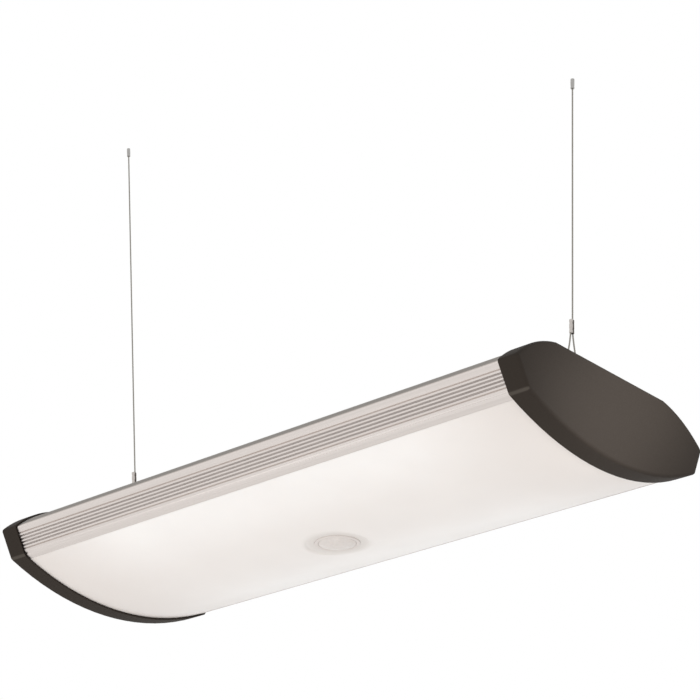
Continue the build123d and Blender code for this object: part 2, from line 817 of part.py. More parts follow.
# Mains inlet: a snap-in bushing with a barb under the top face
inlet_barb_top = -wall - inlet_fit
with BuildPart() as inlet_bushing:
    with BuildSketch(Plane((inlet_x, 0, 0), (1, 0, 0), (0, -1, 0))):
        with BuildLine():
            Polyline(
                (inlet_bore, inlet_flange),
                (inlet_flange_radius, inlet_flange),
                (inlet_flange_radius, 0),
                (inlet_neck, 0),
                (inlet_neck, inlet_barb_top),
                (inlet_neck + inlet_barb, inlet_barb_top),
                (inlet_neck - inlet_barb, -wall - inlet_tail),
                (inlet_bore, -wall - inlet_tail),
                close=True,
            )
        make_face()
    revolve(axis=Axis((inlet_x, 0, 0), (0, 0, 1)))
    fillet(inlet_bushing.edges().group_by(Axis.Z)[-1], inlet_flange / 4)
inlet_bushing.part.label = "inlet_bushing"
export_step(inlet_bushing.part, "parts/inlet_bushing.step")

# Leads inside: from the terminals to the driver and the earth tag, and from the driver to the boards
terminal_lead_z = tray_top + terminal_lead_rise
supply_z = tray_top + supply_rise
with BuildPart() as supply_leads:
    for pole, y in enumerate((-supply_lead_y, lead_spacing - supply_lead_y)):
        start = terminal_left - supply_run
        points = [
            (terminal_left, poles[pole], terminal_lead_z),
            (start, poles[pole], terminal_lead_z),
            ((start + right_bushing) / 2, y, supply_z),
            (right_bushing, y, supply_z),
        ]
        add(lead(points, lead_radius))
supply_leads.part.label = "supply_leads"
export_step(supply_leads.part, "parts/supply_leads.step")

barrel_middle = tray_top + earth_barrel_height / 2
with BuildPart() as earth_lead:
    points = [
        (terminal_left, poles[-1], terminal_lead_z),
        (earth_x, poles[-1], terminal_lead_z),
        (earth_x, barrel_end - earth_run / 2, barrel_middle),
        (earth_x, barrel_end, barrel_middle),
    ]
    add(lead(points, lead_radius))
earth_lead.part.label = "earth_lead"
export_step(earth_lead.part, "parts/earth_lead.step")

connector_face = connector_y - connector_width / 2
connector_middle = board_bottom - connector_height / 2
led_lead_z = tray_top + led_lead_rise
with BuildPart() as led_leads:
    for side in sides.values():
        for shift in (-lead_spacing / 2, lead_spacing / 2):
            x = connector_x + shift
            y = led_lead_y + shift
            points = [
                (left_bushing, side * y, led_lead_z),
                (x, side * y, led_lead_z),
                (x, side * led_hole_y, led_lead_z),
                (x, side * led_hole_y, connector_middle),
                (x, side * connector_face, connector_middle),
            ]
            add(lead(points, fine_lead_radius))
led_leads.part.label = "led_leads"
export_step(led_leads.part, "parts/led_leads.step")

sensor_lead_z = tray_top + sensor_lead_rise
with BuildPart() as sensor_leads:
    for step in (-1, 0, 1):
        y = step * sensor_lead_pitch
        points = [(0, y, sensor_board_top), (0, y, sensor_lead_z), (right_bushing, y, sensor_lead_z)]
        add(lead(points, fine_lead_radius))
sensor_leads.part.label = "sensor_leads"
export_step(sensor_leads.part, "parts/sensor_leads.step")

# Hangers: a folded bracket by each end of the top face, and a cable whose loop goes through its eye
eye_top = eye_rise + eye_radius
rope_height = eye_top - rope_radius - rope_clearance
rope_offset = rope_radius + rope_gap
ferrule_radius = rope_radius + ferrule_wall
ferrule_top = ferrule_rise + ferrule_length
neck_x = rope_offset + neck_radius
neck_rise = ferrule_rise - loop_radius
leg_angle = atan2(neck_rise, neck_x) - acos((loop_radius + neck_radius) / hypot(neck_x, neck_rise))
leg_foot = (loop_radius * cos(leg_angle), loop_radius * (1 + sin(leg_angle)))


def neck_point(side, angle):
    """A point of the bend where a leg of the loop turns into the ferrule."""
    return (side * (neck_x - neck_radius * cos(angle)), ferrule_rise - neck_radius * sin(angle))


for name, side in sides.items():
    with BuildPart() as bracket:
        with BuildSketch():
            with Locations((side * hanger_x, (bracket_depth - bracket_sheet) / 2)):
                Rectangle(bracket_length, bracket_depth)
            with Locations(*[(x, y) for x, y in bracket_screws if x * side > 0]):
                Circle(bracket_screw[0] + screw_fit, mode=Mode.SUBTRACT)
        extrude(amount=bracket_sheet)
        with BuildSketch(Plane.XZ.offset(-bracket_sheet / 2)):
            with Locations((side * hanger_x, eye_rise)):
                Circle(eye_radius + eye_rim)
            with Locations((side * hanger_x, bracket_sheet / 2)):
                Rectangle(bracket_length, bracket_sheet)
            make_hull()
            with Locations((side * hanger_x, eye_rise)):
                Circle(eye_radius, mode=Mode.SUBTRACT)
        extrude(amount=bracket_sheet)
        inner_bend = bracket.edges().filter_by(Axis.X).sort_by_distance(
            (side * hanger_x, bracket_sheet / 2, bracket_sheet)
        )[0]
        fillet(inner_bend, bracket_bend)
    bracket.part.label = f"{name}_hanger_bracket"
    export_step(bracket.part, f"parts/{name}_hanger_bracket.step")

    hang = Plane((side * hanger_x, 0, rope_height), (0, 1, 0), (cos(splay), 0, -side * sin(splay)))
    rise = hang.y_dir

    with BuildPart() as loop:
        with BuildLine(hang) as path:
            ThreePointArc(neck_point(-1, 0), neck_point(-1, leg_angle / 2), neck_point(-1, leg_angle))
            Line(neck_point(-1, leg_angle), (-leg_foot[0], leg_foot[1]))
            ThreePointArc((-leg_foot[0], leg_foot[1]), (0, 0), leg_foot)
            Line(leg_foot, neck_point(1, leg_angle))
            ThreePointArc(neck_point(1, leg_angle), neck_point(1, leg_angle / 2), neck_point(1, 0))
        with BuildSketch(Plane(origin=path.line @ 0, z_dir=path.line % 0)):
            Circle(rope_radius)
        sweep()
    loop.part.label = f"{name}_cable_loop"
    export_step(loop.part, f"parts/{name}_cable_loop.step")

    with BuildPart() as ferrule:
        with BuildSketch(Plane(hang.from_local_coords((0, ferrule_rise, 0)), (0, 1, 0), rise)):
            with Locations((-rope_offset, 0), (rope_offset, 0)):
                Circle(ferrule_radius)
        extrude(amount=ferrule_length)
        chamfer(ferrule.faces().filter_by(GeomType.PLANE).edges(), ferrule_edge)
    ferrule.part.label = f"{name}_cable_ferrule"
    export_step(ferrule.part, f"parts/{name}_cable_ferrule.step")

    stop_start = cable_reach[name] - stop_length
    with BuildPart() as rope:
        with BuildSketch(Plane(hang.from_local_coords((rope_offset, ferrule_top, 0)), (0, 1, 0), rise)):
            Circle(rope_radius)
        extrude(amount=stop_start - ferrule_top)
    rope.part.label = f"{name}_cable_rope"
    export_step(rope.part, f"parts/{name}_cable_rope.step")

    with BuildPart() as stop:
        with BuildSketch(Plane(hang.from_local_coords((rope_offset, stop_start, 0)), (0, 1, 0), rise)):
            Circle(stop_radius)
        extrude(amount=stop_length)
        chamfer(stop.edges().filter_by(GeomType.CIRCLE), ferrule_edge)
    stop.part.label = f"{name}_cable_stop"
    export_step(stop.part, f"parts/{name}_cable_stop.step")
    loop_length = sum(edge.length for edge in path.edges())
    print(name, "cable: loop radius", loop_radius, "and neck radius", neck_radius)
    print(name, "cable: loop length", round(loop_length, 1), "and rope", round(stop_start - ferrule_top, 1))

with BuildPart() as bracket_screw_set:
    for x, y in bracket_screws:
        seat = Plane((x, y, bracket_sheet))
        add(pan_screw(seat, bracket_screw, bracket_sheet + wall + 1.5 * nut_height))
bracket_screw_set.part.label = "bracket_screws"
export_step(bracket_screw_set.part, "parts/bracket_screws.step")

with BuildPart() as bracket_nuts:
    with BuildSketch(Plane.XY.offset(-wall)):
        with Locations(*bracket_screws):
            RegularPolygon(nut_across / 2, 6, major_radius=False)
            Circle(bracket_screw[0] + screw_fit / 2, mode=Mode.SUBTRACT)
    extrude(amount=-nut_height)
bracket_nuts.part.label = "bracket_nuts"
export_step(bracket_nuts.part, "parts/bracket_nuts.step")
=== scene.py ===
"""A hanging garage light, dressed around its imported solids.

Sizes are in millimetres in the frame of the solids: +X along the light, +Y across it to the rear and +Z up,
with the origin at the centre of the top face. Meshes are scaled to metres as they are made.
"""

import json
import logging
import math
from collections.abc import Sequence
from dataclasses import dataclass, field
from enum import Enum

import bmesh
import bpy
from mathutils import Matrix, Quaternion, Vector


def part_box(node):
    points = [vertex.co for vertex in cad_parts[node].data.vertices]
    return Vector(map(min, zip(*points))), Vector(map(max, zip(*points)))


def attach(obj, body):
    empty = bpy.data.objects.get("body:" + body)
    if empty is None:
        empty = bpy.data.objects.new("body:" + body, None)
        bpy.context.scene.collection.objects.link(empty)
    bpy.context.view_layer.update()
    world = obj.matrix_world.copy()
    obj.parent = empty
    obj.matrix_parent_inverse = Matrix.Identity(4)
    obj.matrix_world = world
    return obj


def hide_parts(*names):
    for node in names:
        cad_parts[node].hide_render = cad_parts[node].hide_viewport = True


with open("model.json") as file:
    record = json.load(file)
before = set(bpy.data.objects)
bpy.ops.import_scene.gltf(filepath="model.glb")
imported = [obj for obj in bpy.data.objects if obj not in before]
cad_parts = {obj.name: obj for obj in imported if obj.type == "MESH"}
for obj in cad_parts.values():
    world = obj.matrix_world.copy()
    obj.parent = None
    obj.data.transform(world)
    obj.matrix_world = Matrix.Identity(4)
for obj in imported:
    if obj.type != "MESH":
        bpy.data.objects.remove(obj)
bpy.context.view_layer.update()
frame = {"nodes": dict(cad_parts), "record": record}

MM = 0.001
MERGE_DISTANCE = 0.002
SHARP_ANGLE = math.radians(34)
ARC_STEP = math.radians(3)
ROUND_STEP = math.radians(15)
LATHE_STEPS = 72
ROUTE_ORDER = 3
ROUTE_STEPS = 24
GRAIN_DETAIL = 3.0
GRAIN_SPAN = (0.3, 0.7)
WHITE = "#FFFFFF"
METAL = (("Metallic", 1.0),)
FIXTURE = "fixture"
LOG = logging.getLogger("garage_light")

Point2 = tuple[float, float]
Point3 = tuple[float, float, float]
Rings = list[list[Vector]]


class Side(Enum):
    """The two ends of the light, as the sign of their X."""

    LEFT = -1
    RIGHT = 1

    @property
    def label(self) -> str:
        """The end's name in the solids."""
        return self.name.lower()


class Grain(Enum):
    """How a surface was made, as the stretch of its grain along X, Y and Z."""

    MOULDED = (1.0, 1.0, 1.0)
    EXTRUDED = (600.0, 1.0, 1.0)
    ROLLED = (6.0, 1.0, 1.0)


def linear(hex_colour: str) -> tuple[float, float, float, float]:
    """Turns an sRGB hex colour to linear light, by the standard curve.

    Args:
        hex_colour: six hex digits after a number sign.

    Returns:
        Linear red, green and blue, and an alpha of 1.
    """
    channels = [int(hex_colour[place : place + 2], 16) / 255 for place in (1, 3, 5)]
    red, green, blue = [c / 12.92 if c <= 0.04045 else ((c + 0.055) / 1.055) ** 2.4 for c in channels]
    return red, green, blue, 1.0


def add_node(
    tree: bpy.types.NodeTree, kind: str, settings: dict | None = None, inputs: dict | None = None
) -> bpy.types.Node:
    """Adds one node with its settings, its constant inputs and its links.

    Args:
        tree: the tree that takes the node.
        kind: Blender's name of the node's type.
        settings: attributes of the node.
        inputs: by name or number of an input, a constant, an output to link, or a list of outputs.

    Returns:
        The new node.
    """
    node = tree.nodes.new(kind)
    for name, value in (settings or {}).items():
        setattr(node, name, value)
    for name, value in (inputs or {}).items():
        many = value if isinstance(value, list) else [value]
        if isinstance(many[0], bpy.types.NodeSocket):
            for source in many:
                tree.links.new(source, node.inputs[name])
        else:
            node.inputs[name].default_value = value
    return node


def bare_tree(owner: bpy.types.ID) -> bpy.types.NodeTree:
    """Gives a material or a world an empty node tree."""
    owner.use_nodes = True
    owner.node_tree.nodes.clear()
    return owner.node_tree


def distance_ramp(
    tree: bpy.types.NodeTree,
    place: bpy.types.NodeSocket,
    axes: Point3,
    reach: Point2,
    levels: Point2 = (0.0, 1.0),
    centre: Point3 = (0.0, 0.0, 0.0),
) -> bpy.types.NodeSocket:
    """Gives a soft ramp over the distance from a centre, in millimetres.

    Args:
        tree: the material's tree.
        place: object coordinates.
        axes: 1 for each axis that the distance counts, and 0 for the others.
        reach: distances where the ramp starts and ends.
        levels: the ramp's values there.
        centre: where the distance starts, with 0 on an axis that doesn't count.

    Returns:
        The output that carries the ramp.
    """
    shift = [-value * MM for value in centre]
    spread = {"Vector": place, "Location": shift, "Scale": axes}
    flat = add_node(tree, "ShaderNodeMapping", inputs=spread).outputs["Vector"]
    away = add_node(tree, "ShaderNodeVectorMath", {"operation": "LENGTH"}, {0: flat}).outputs["Value"]
    limits = {"From Min": reach[0] * MM, "From Max": reach[1] * MM, "To Min": levels[0], "To Max": levels[1]}
    fade = {"interpolation_type": "SMOOTHSTEP"}
    return add_node(tree, "ShaderNodeMapRange", fade, {"Value": away, **limits}).outputs["Result"]


@dataclass(frozen=True)
class Finish:
    """One material: its colours, its gloss and the grain of its surface.

    Attributes:
        name: what the material is and how its surface was made.
        colour: sRGB hex colour of most of the surface.
        tone: sRGB hex colour that the grain mixes in.
        roughness: least and greatest roughness over the grain.
        grain_size: width of the grain in millimetres.
        grain: how the surface was made.
        bump: height of the grain in millimetres.
        sockets: names and values of the shader's constant sockets.
    """

    name: str
    colour: str
    tone: str
    roughness: Point2
    grain_size: float
    grain: Grain = Grain.MOULDED
    bump: float = 0.0
    sockets: tuple[tuple[str, float | tuple[float, ...]], ...] = ()

    def material(self) -> bpy.types.Material:
        """Gives the finish's node material, made on first use.

        Returns:
            The material.
        """
        known = bpy.data.materials.get(self.name)
        if known:
            return known
        material = bpy.data.materials.new(self.name)
        tree = bare_tree(material)
        place = add_node(tree, "ShaderNodeTexCoord").outputs["Object"]
        scale = [1 / (self.grain_size * stretch * MM) for stretch in self.grain.value]
        spread = add_node(tree, "ShaderNodeMapping", inputs={"Vector": place, "Scale": scale})
        grain = {"Vector": spread.outputs["Vector"], "Scale": 1.0, "Detail": GRAIN_DETAIL}
        noise = add_node(tree, "ShaderNodeTexNoise", inputs=grain).outputs["Fac"]
        span = {"Value": noise, "From Min": GRAIN_SPAN[0], "From Max": GRAIN_SPAN[1]}
        share = add_node(tree, "ShaderNodeMapRange", inputs=span).outputs["Result"]
        limits = {"Value": share, "To Min": self.roughness[0], "To Max": self.roughness[1]}
        gloss = add_node(tree, "ShaderNodeMapRange", inputs=limits).outputs["Result"]
        inputs = {"Base Color": self.tint(tree, place, share), "Roughness": gloss, **dict(self.sockets)}
        if self.bump:
            relief = {"Height": noise, "Strength": 1.0, "Distance": self.bump * MM}
            inputs["Normal"] = add_node(tree, "ShaderNodeBump", inputs=relief).outputs["Normal"]
        shader = add_node(tree, "ShaderNodeBsdfPrincipled", inputs=inputs)
        add_node(tree, "ShaderNodeOutputMaterial", inputs={"Surface": shader.outputs["BSDF"]})
        return material

    def tint(
        self, tree: bpy.types.NodeTree, place: bpy.types.NodeSocket, share: bpy.types.NodeSocket
    ) -> bpy.types.NodeSocket:
        """Gives the surface colour.

        Args:
            tree: the material's tree.
            place: object coordinates; not used by this plain finish.
            share: the grain's share of the second colour.

        Returns:
            The output that carries the colour.
        """
        colours = {"Fac": share, "Color1": linear(self.colour), "Color2": linear(self.tone)}
        return add_node(tree, "ShaderNodeMixRGB", inputs=colours).outputs["Color"]


@dataclass(frozen=True)
class GlowingFinish(Finish):
    """A sheet with painted light: its colour is brighter in two soft bands in front of the LED rows behind
    it.

    Attributes:
        dim: sRGB hex colour between the rows and at the ends, where the painted light fades out.
        shaded: sRGB hex colour of the painted shade round the sensor, where its holder stands behind the
            sheet.
        dark_line: place across the light of the darker line between the bands.
        across: distances from that line where the bands start and are full.
        between: share of the bands' light that is left on that line.
        along: distances from the middle where the bands start to fade and have gone.
        holder: distances from the middle where the painted shade round the sensor is full and has gone.
    """

    dim: str = "#E3DCD7"
    shaded: str = "#DDD7D2"
    dark_line: float = -22.0
    across: Point2 = (10.0, 85.0)
    between: float = 0.55
    along: Point2 = (140.0, 300.0)
    holder: Point2 = (23.0, 35.0)

    def tint(
        self, tree: bpy.types.NodeTree, place: bpy.types.NodeSocket, share: bpy.types.NodeSocket
    ) -> bpy.types.NodeSocket:
        """Gives the surface colour, with painted light along the LED rows and painted shade round the sensor.

        Args:
            tree: the material's tree.
            place: object coordinates.
            share: the grain's share of the second colour.

        Returns:
            The output that carries the colour.
        """
        colour = super().tint(tree, place, share)
        line = (0.0, self.dark_line, 0.0)
        across = distance_ramp(tree, place, (0.0, 1.0, 0.0), self.across, (self.between, 1.0), line)
        along = distance_ramp(tree, place, (1.0, 0.0, 0.0), self.along, (1.0, 0.0))
        rows = add_node(tree, "ShaderNodeMath", {"operation": "MULTIPLY"}, {0: across, 1: along}).outputs[0]
        clear = distance_ramp(tree, place, (1.0, 1.0, 0.0), self.holder)
        for level, dark in ((rows, self.dim), (clear, self.shaded)):
            mixed = {"Fac": level, "Color1": linear(dark), "Color2": colour}
            colour = add_node(tree, "ShaderNodeMixRGB", inputs=mixed).outputs["Color"]
        return colour


@dataclass(frozen=True)
class RubbedFinish(Finish):
    """A moulded surface with a painted highlight: its colour is paler along the body's two foot edges.

    Attributes:
        rubbed: sRGB hex colour of the painted highlight along the edges.
        edge: distance of the edges from the middle line, and how far they are below the top.
        reach: distances from the edges where the painted highlight is full and has gone.
    """

    rubbed: str = "#4F4943"
    edge: Point2 = (123.9, 54.0)
    reach: Point2 = (0.6, 2.4)

    def tint(
        self, tree: bpy.types.NodeTree, place: bpy.types.NodeSocket, share: bpy.types.NodeSocket
    ) -> bpy.types.NodeSocket:
        """Gives the surface colour, with a painted highlight along the foot edges.

        Args:
            tree: the material's tree.
            place: object coordinates.
            share: the grain's share of the second colour.

        Returns:
            The output that carries the colour.
        """
        body = super().tint(tree, place, share)
        near = add_node(tree, "ShaderNodeVectorMath", {"operation": "ABSOLUTE"}, {0: place}).outputs["Vector"]
        ramp = distance_ramp(tree, near, (0.0, 1.0, 1.0), self.reach, centre=(0.0, *self.edge))
        highlighted = {"Fac": ramp, "Color1": linear(self.rubbed), "Color2": body}
        return add_node(tree, "ShaderNodeMixRGB", inputs=highlighted).outputs["Color"]


# Anodised aluminium extrusion: a satin metal whose die lines run along the light. Real die lines are about
# 0.2 mm apart, and are drawn wider here so that they show.
ANODISED = Finish(
    "anodised_aluminium_extrusion",
    "#E3DBD6",
    "#DBD3CE",
    (0.26, 0.34),
    0.7,
    Grain.EXTRUDED,
    0.0015,
    (*METAL, ("Specular Tint", (0.5, 0.48, 0.46, 1.0))),
)

# Anodised aluminium in the grooves: the same metal, rougher, with a darker colour that is painted shade
# inside the grooves.
GROOVE_SHADE = Finish(
    "dull_anodised_aluminium_groove", "#C9C0BB", "#BDB4AF", (0.45, 0.6), 0.7, Grain.EXTRUDED, 0.002, METAL
)

# Mill-finish aluminium: the unpolished top of the extrusion, greyer than its sides, with a low edge tint that
# is a painted dark reflection along the rim edge, where the shoulder is seen at a grazing angle.
MILL_FINISH_RIM_SHADE = Finish(
    "mill_finish_aluminium",
    "#C0BDBA",
    "#B8B5B2",
    (0.4, 0.5),
    1.2,
    Grain.EXTRUDED,
    0.002,
    (*METAL, ("Specular Tint", (0.2, 0.18, 0.16, 1.0))),
)

# Moulded ABS, dark grey: a matte shell with the fine spark texture of its mould, which softens every
# reflection, and a painted highlight along the foot edges. The texture is drawn at 0.8 mm, about three times
# its real size.
DARK_ABS = RubbedFinish(
    "moulded_dark_abs",
    "#37312C",
    "#332D28",
    (0.64, 0.74),
    0.8,
    bump=0.006,
    sockets=(("Specular IOR Level", 0.08),),
)

# Opal acrylic sheet: milky through its depth, with a satin skin and slow clouds from extrusion, and painted
# light in two bands with painted shade at the ends and round the sensor.
OPAL_ACRYLIC = GlowingFinish(
    "opal_acrylic_sheet",
    "#F9F5F2",
    "#F6F2EF",
    (0.28, 0.34),
    45.0,
    sockets=(
        ("Specular IOR Level", 0.35),
        ("Subsurface Weight", 0.25),
        ("Subsurface Radius", (1.0, 0.95, 0.9)),
        ("Subsurface Scale", 0.002),
        ("IOR", 1.49),
    ),
)

# Moulded white ABS: a clean satin plastic with almost no texture.
WHITE_ABS = Finish("moulded_white_abs", "#DCD4CF", "#D7CFCA", (0.34, 0.42), 1.2, bump=0.002)

# Milky polyethylene: the soft waxy lens of the sensor, a little greyer than the sheet round it.
POLYETHYLENE = Finish(
    "milky_polyethylene",
    "#E0D8D3",
    "#DAD2CD",
    (0.3, 0.38),
    3.0,
    bump=0.004,
    sockets=(
        ("Subsurface Weight", 0.3),
        ("Subsurface Radius", (1.0, 0.9, 0.85)),
        ("Subsurface Scale", 0.002),
        ("IOR", 1.51),
    ),
)

# Powder-coated steel: white with the shallow orange peel of the baked coat.
POWDER_COAT = Finish("powder_coated_steel", "#ECEAE6", "#E4E2DE", (0.35, 0.45), 1.5, bump=0.01)

# Zinc-plated steel: a bluish bright plate over rolled sheet, cloudy where it was passivated.
ZINC = Finish("zinc_plated_steel", "#C8CACC", "#B2B5B8", (0.28, 0.42), 2.5, Grain.ROLLED, 0.003, METAL)

# Galvanised wire rope: dull grey zinc on drawn wires, dark where the strands meet.
WIRE_ROPE = Finish(
    "galvanised_wire_rope", "#9E9B94", "#837F77", (0.34, 0.48), 0.6, bump=0.01, sockets=METAL
)

# Aluminium with a painted dark reflection: a dark colour in the sleeve's cleft and on its ends.
SLEEVE_CLEFT_REFLECTION = Finish(
    "oxidised_aluminium", "#4A4540", "#423D39", (0.4, 0.55), 0.8, bump=0.004, sockets=METAL
)

# Pressed aluminium sleeve: soft bright metal scuffed by the crimping jaws.
CRIMP_SLEEVE = Finish(
    "pressed_aluminium_sleeve", "#C9C3BE", "#BAB4AF", (0.3, 0.45), 0.8, bump=0.004, sockets=METAL
)

# Swaged steel stop: turned bright steel with fine tool marks.
SWAGED_STEEL = Finish("swaged_steel", "#B4B2AF", "#9F9D9A", (0.25, 0.4), 0.7, bump=0.005, sockets=METAL)

# Circuit board: glass-fibre board under white solder mask, which shows the weave faintly.
SOLDER_MASK = Finish("white_solder_mask", "#E6E8E4", "#DCDFDA", (0.3, 0.4), 0.7, bump=0.003)

# Phosphor: the yellow gel that fills a white LED package.
PHOSPHOR = Finish("led_phosphor_gel", "#E8CE62", "#DDBF4C", (0.25, 0.35), 0.8)

# Nylon: off-white moulded terminals and connectors, slightly waxy.
NYLON = Finish("moulded_nylon", "#DBD9D3", "#D0CEC7", (0.4, 0.5), 1.0, bump=0.003)

# Rubber: black and dull, with the bloom of moulded grommets.
RUBBER = Finish("moulded_rubber", "#1C1B1A", "#262524", (0.55, 0.7), 0.9, bump=0.008)

# Ferrite with tape: a dark sintered core under glossy tape.
FERRITE = Finish("taped_ferrite", "#2B2B2D", "#353537", (0.4, 0.6), 1.2, bump=0.01)

# Enamelled copper: lacquered windings with a warm gloss.
COPPER = Finish("enamelled_copper", "#B0673A", "#8F4F2A", (0.22, 0.34), 0.9, bump=0.02, sockets=METAL)

# Drawn aluminium can: bright and finely scratched along the draw.
DRAWN_CAN = Finish("drawn_aluminium_can", "#C9CACC", "#B7B8BB", (0.25, 0.38), 0.8, sockets=METAL)

# Brass: stamped sheet, slightly tarnished.
BRASS = Finish("stamped_brass", "#C2A25C", "#A98A48", (0.3, 0.45), 1.5, sockets=METAL)


def insulation(colour_name: str, colour: str, tone: str) -> Finish:
    """Gives the finish of a PVC-insulated lead: even colour with a soft extruded gloss.

    Args:
        colour_name: the colour in words.
        colour: sRGB hex colour.
        tone: sRGB hex colour of its slight streaks.

    Returns:
        The finish.
    """
    return Finish(f"{colour_name}_pvc_insulation", colour, tone, (0.38, 0.46), 1.4, bump=0.003)


FINISH_OF_SLOT: dict[str, Finish] = {
    "aluminium_body": ANODISED,
    "end_cap_plastic": DARK_ABS,
    "opal_lens": OPAL_ACRYLIC,
    "sensor_plastic": WHITE_ABS,
    "sensor_dome": POLYETHYLENE,
    "white_steel": POWDER_COAT,
    "zinc_steel": ZINC,
    "circuit_board": SOLDER_MASK,
    "led_package": PHOSPHOR,
    "connector_plastic": NYLON,
    "bushing_rubber": RUBBER,
    "transformer_core": FERRITE,
    "copper_winding": COPPER,
    "can_aluminium": DRAWN_CAN,
    "brass_tag": BRASS,
    "supply_insulation": insulation("black", "#232324", "#2C2C2D"),
    "earth_insulation": insulation("green", "#2F8A4B", "#277A41"),
    "led_insulation": insulation("red", "#B0322C", "#9C2A25"),
    "sensor_insulation": insulation("white", "#E4E2DF", "#DAD8D5"),
    "rope_steel": WIRE_ROPE,
    "ferrule_aluminium": CRIMP_SLEEVE,
    "stop_steel": SWAGED_STEEL,
}


def box_mm(node: str) -> tuple[Vector, Vector]:
    """Gives the lowest and highest corners of a solid at rest, in millimetres."""
    low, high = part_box(node)
    return low / MM, high / MM


def add_object(name: str, data: bpy.types.ID) -> bpy.types.Object:
    """Makes an object of its data and puts it in the scene.

    Args:
        name: the object's name.
        data: its mesh, curve, camera or lamp.

    Returns:
        The new object, at the origin.
    """
    made = bpy.data.objects.new(name, data)
    bpy.context.scene.collection.objects.link(made)
    return made


def plain_mesh(shape: bpy.types.Object) -> bpy.types.Mesh:
    """Gives a new plain mesh of what an object shows, its modifiers applied."""
    graph = bpy.context.evaluated_depsgraph_get()
    return bpy.data.meshes.new_from_object(shape.evaluated_get(graph), depsgraph=graph)


def keep_result(piece: bpy.types.Object, modifier: bpy.types.Modifier) -> None:
    """Keeps what a piece shows with its modifier as its plain mesh, and removes the modifier."""
    made = plain_mesh(piece)
    piece.modifiers.remove(modifier)
    piece.data = made


def mesh_piece(name: str, points: Sequence[Vector], faces: Sequence[Sequence[int]]) -> bpy.types.Object:
    """Makes a piece of points in millimetres, with doubles merged and its faces turned outwards.

    Args:
        name: the piece's name.
        points: corners in the frame of the solids.
        faces: numbers of the corners of each face.

    Returns:
        The new object, at the origin.
    """
    mesh = bpy.data.meshes.new(name)
    mesh.from_pydata([Vector(point) * MM for point in points], [], faces)
    shape = bmesh.new()
    shape.from_mesh(mesh)
    bmesh.ops.remove_doubles(shape, verts=shape.verts, dist=MERGE_DISTANCE * MM)
    bmesh.ops.recalc_face_normals(shape, faces=shape.faces)
    shape.to_mesh(mesh)
    shape.free()
    return add_object(name, mesh)


def loft(name: str, rings: Rings, closed: bool = False) -> bpy.types.Object:
    """Skins rings of equal length and fills both ends.

    Args:
        name: the piece's name.
        rings: the rings in order.
        closed: whether the last ring joins the first, in place of the fills.

    Returns:
        The new piece.
    """
    count = len(rings[0])
    points = [point for ring in rings for point in ring]
    steps = range(len(rings) if closed else len(rings) - 1)
    faces: list[list[int]] = []
    for step in steps:
        here, there = step * count, (step + 1) % len(rings) * count
        for place in range(count):
            after = (place + 1) % count
            faces.append([here + place, here + after, there + after, there + place])
    if not closed:
        faces += [list(range(count)), list(range(len(points) - count, len(points)))]
    return mesh_piece(name, points, faces)


def turned_ring(radius: float, height: float, sides: int = 0) -> list[Vector]:
    """Gives the points of a ring round the Z axis.

    Args:
        radius: of the ring, or of its corners.
        height: of the ring.
        sides: number of straight sides, or none for a round ring.

    Returns:
        The points, which lie on the sides where there are any.
    """
    half = math.pi / sides if sides else 0.0
    ring = []
    for step in range(LATHE_STEPS):
        turn = math.tau * step / LATHE_STEPS
        reach = radius * math.cos(half) / math.cos(turn % (2 * half) - half) if sides else radius
        ring.append(Vector((reach * math.cos(turn), reach * math.sin(turn), height)))
    return ring


def lathe(name: str, profile: Sequence[Point2], axis: Matrix, closed: bool = False) -> bpy.types.Object:
    """Turns a profile round an axis.

    Args:
        name: the piece's name.
        profile: radius and height of each ring.
        axis: placement whose Z is the axis.
        closed: whether the profile is a closed loop.

    Returns:
        The new piece.
    """
    rings = [[axis @ point for point in turned_ring(radius, height)] for radius, height in profile]
    return loft(name, rings, closed)


def settle(piece: bpy.types.Object, body: str, slot: str, *nodes: str) -> None:
    """Shades and dresses a piece, ties it to its body and hides the solids that it stands for.

    Args:
        piece: the finished mesh.
        body: the body that it moves with.
        slot: the record's slot, which gives its finish where it has no material yet.
        nodes: the solids that it replaces.
    """
    piece.data.shade_smooth()
    piece.data.set_sharp_from_angle(angle=SHARP_ANGLE)
    if not piece.data.materials:
        piece.data.materials.append(FINISH_OF_SLOT[slot].material())
    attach(piece, body)
    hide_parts(*nodes)
    LOG.info("%s: %d faces, for %s", piece.name, len(piece.data.polygons), ", ".join(nodes))


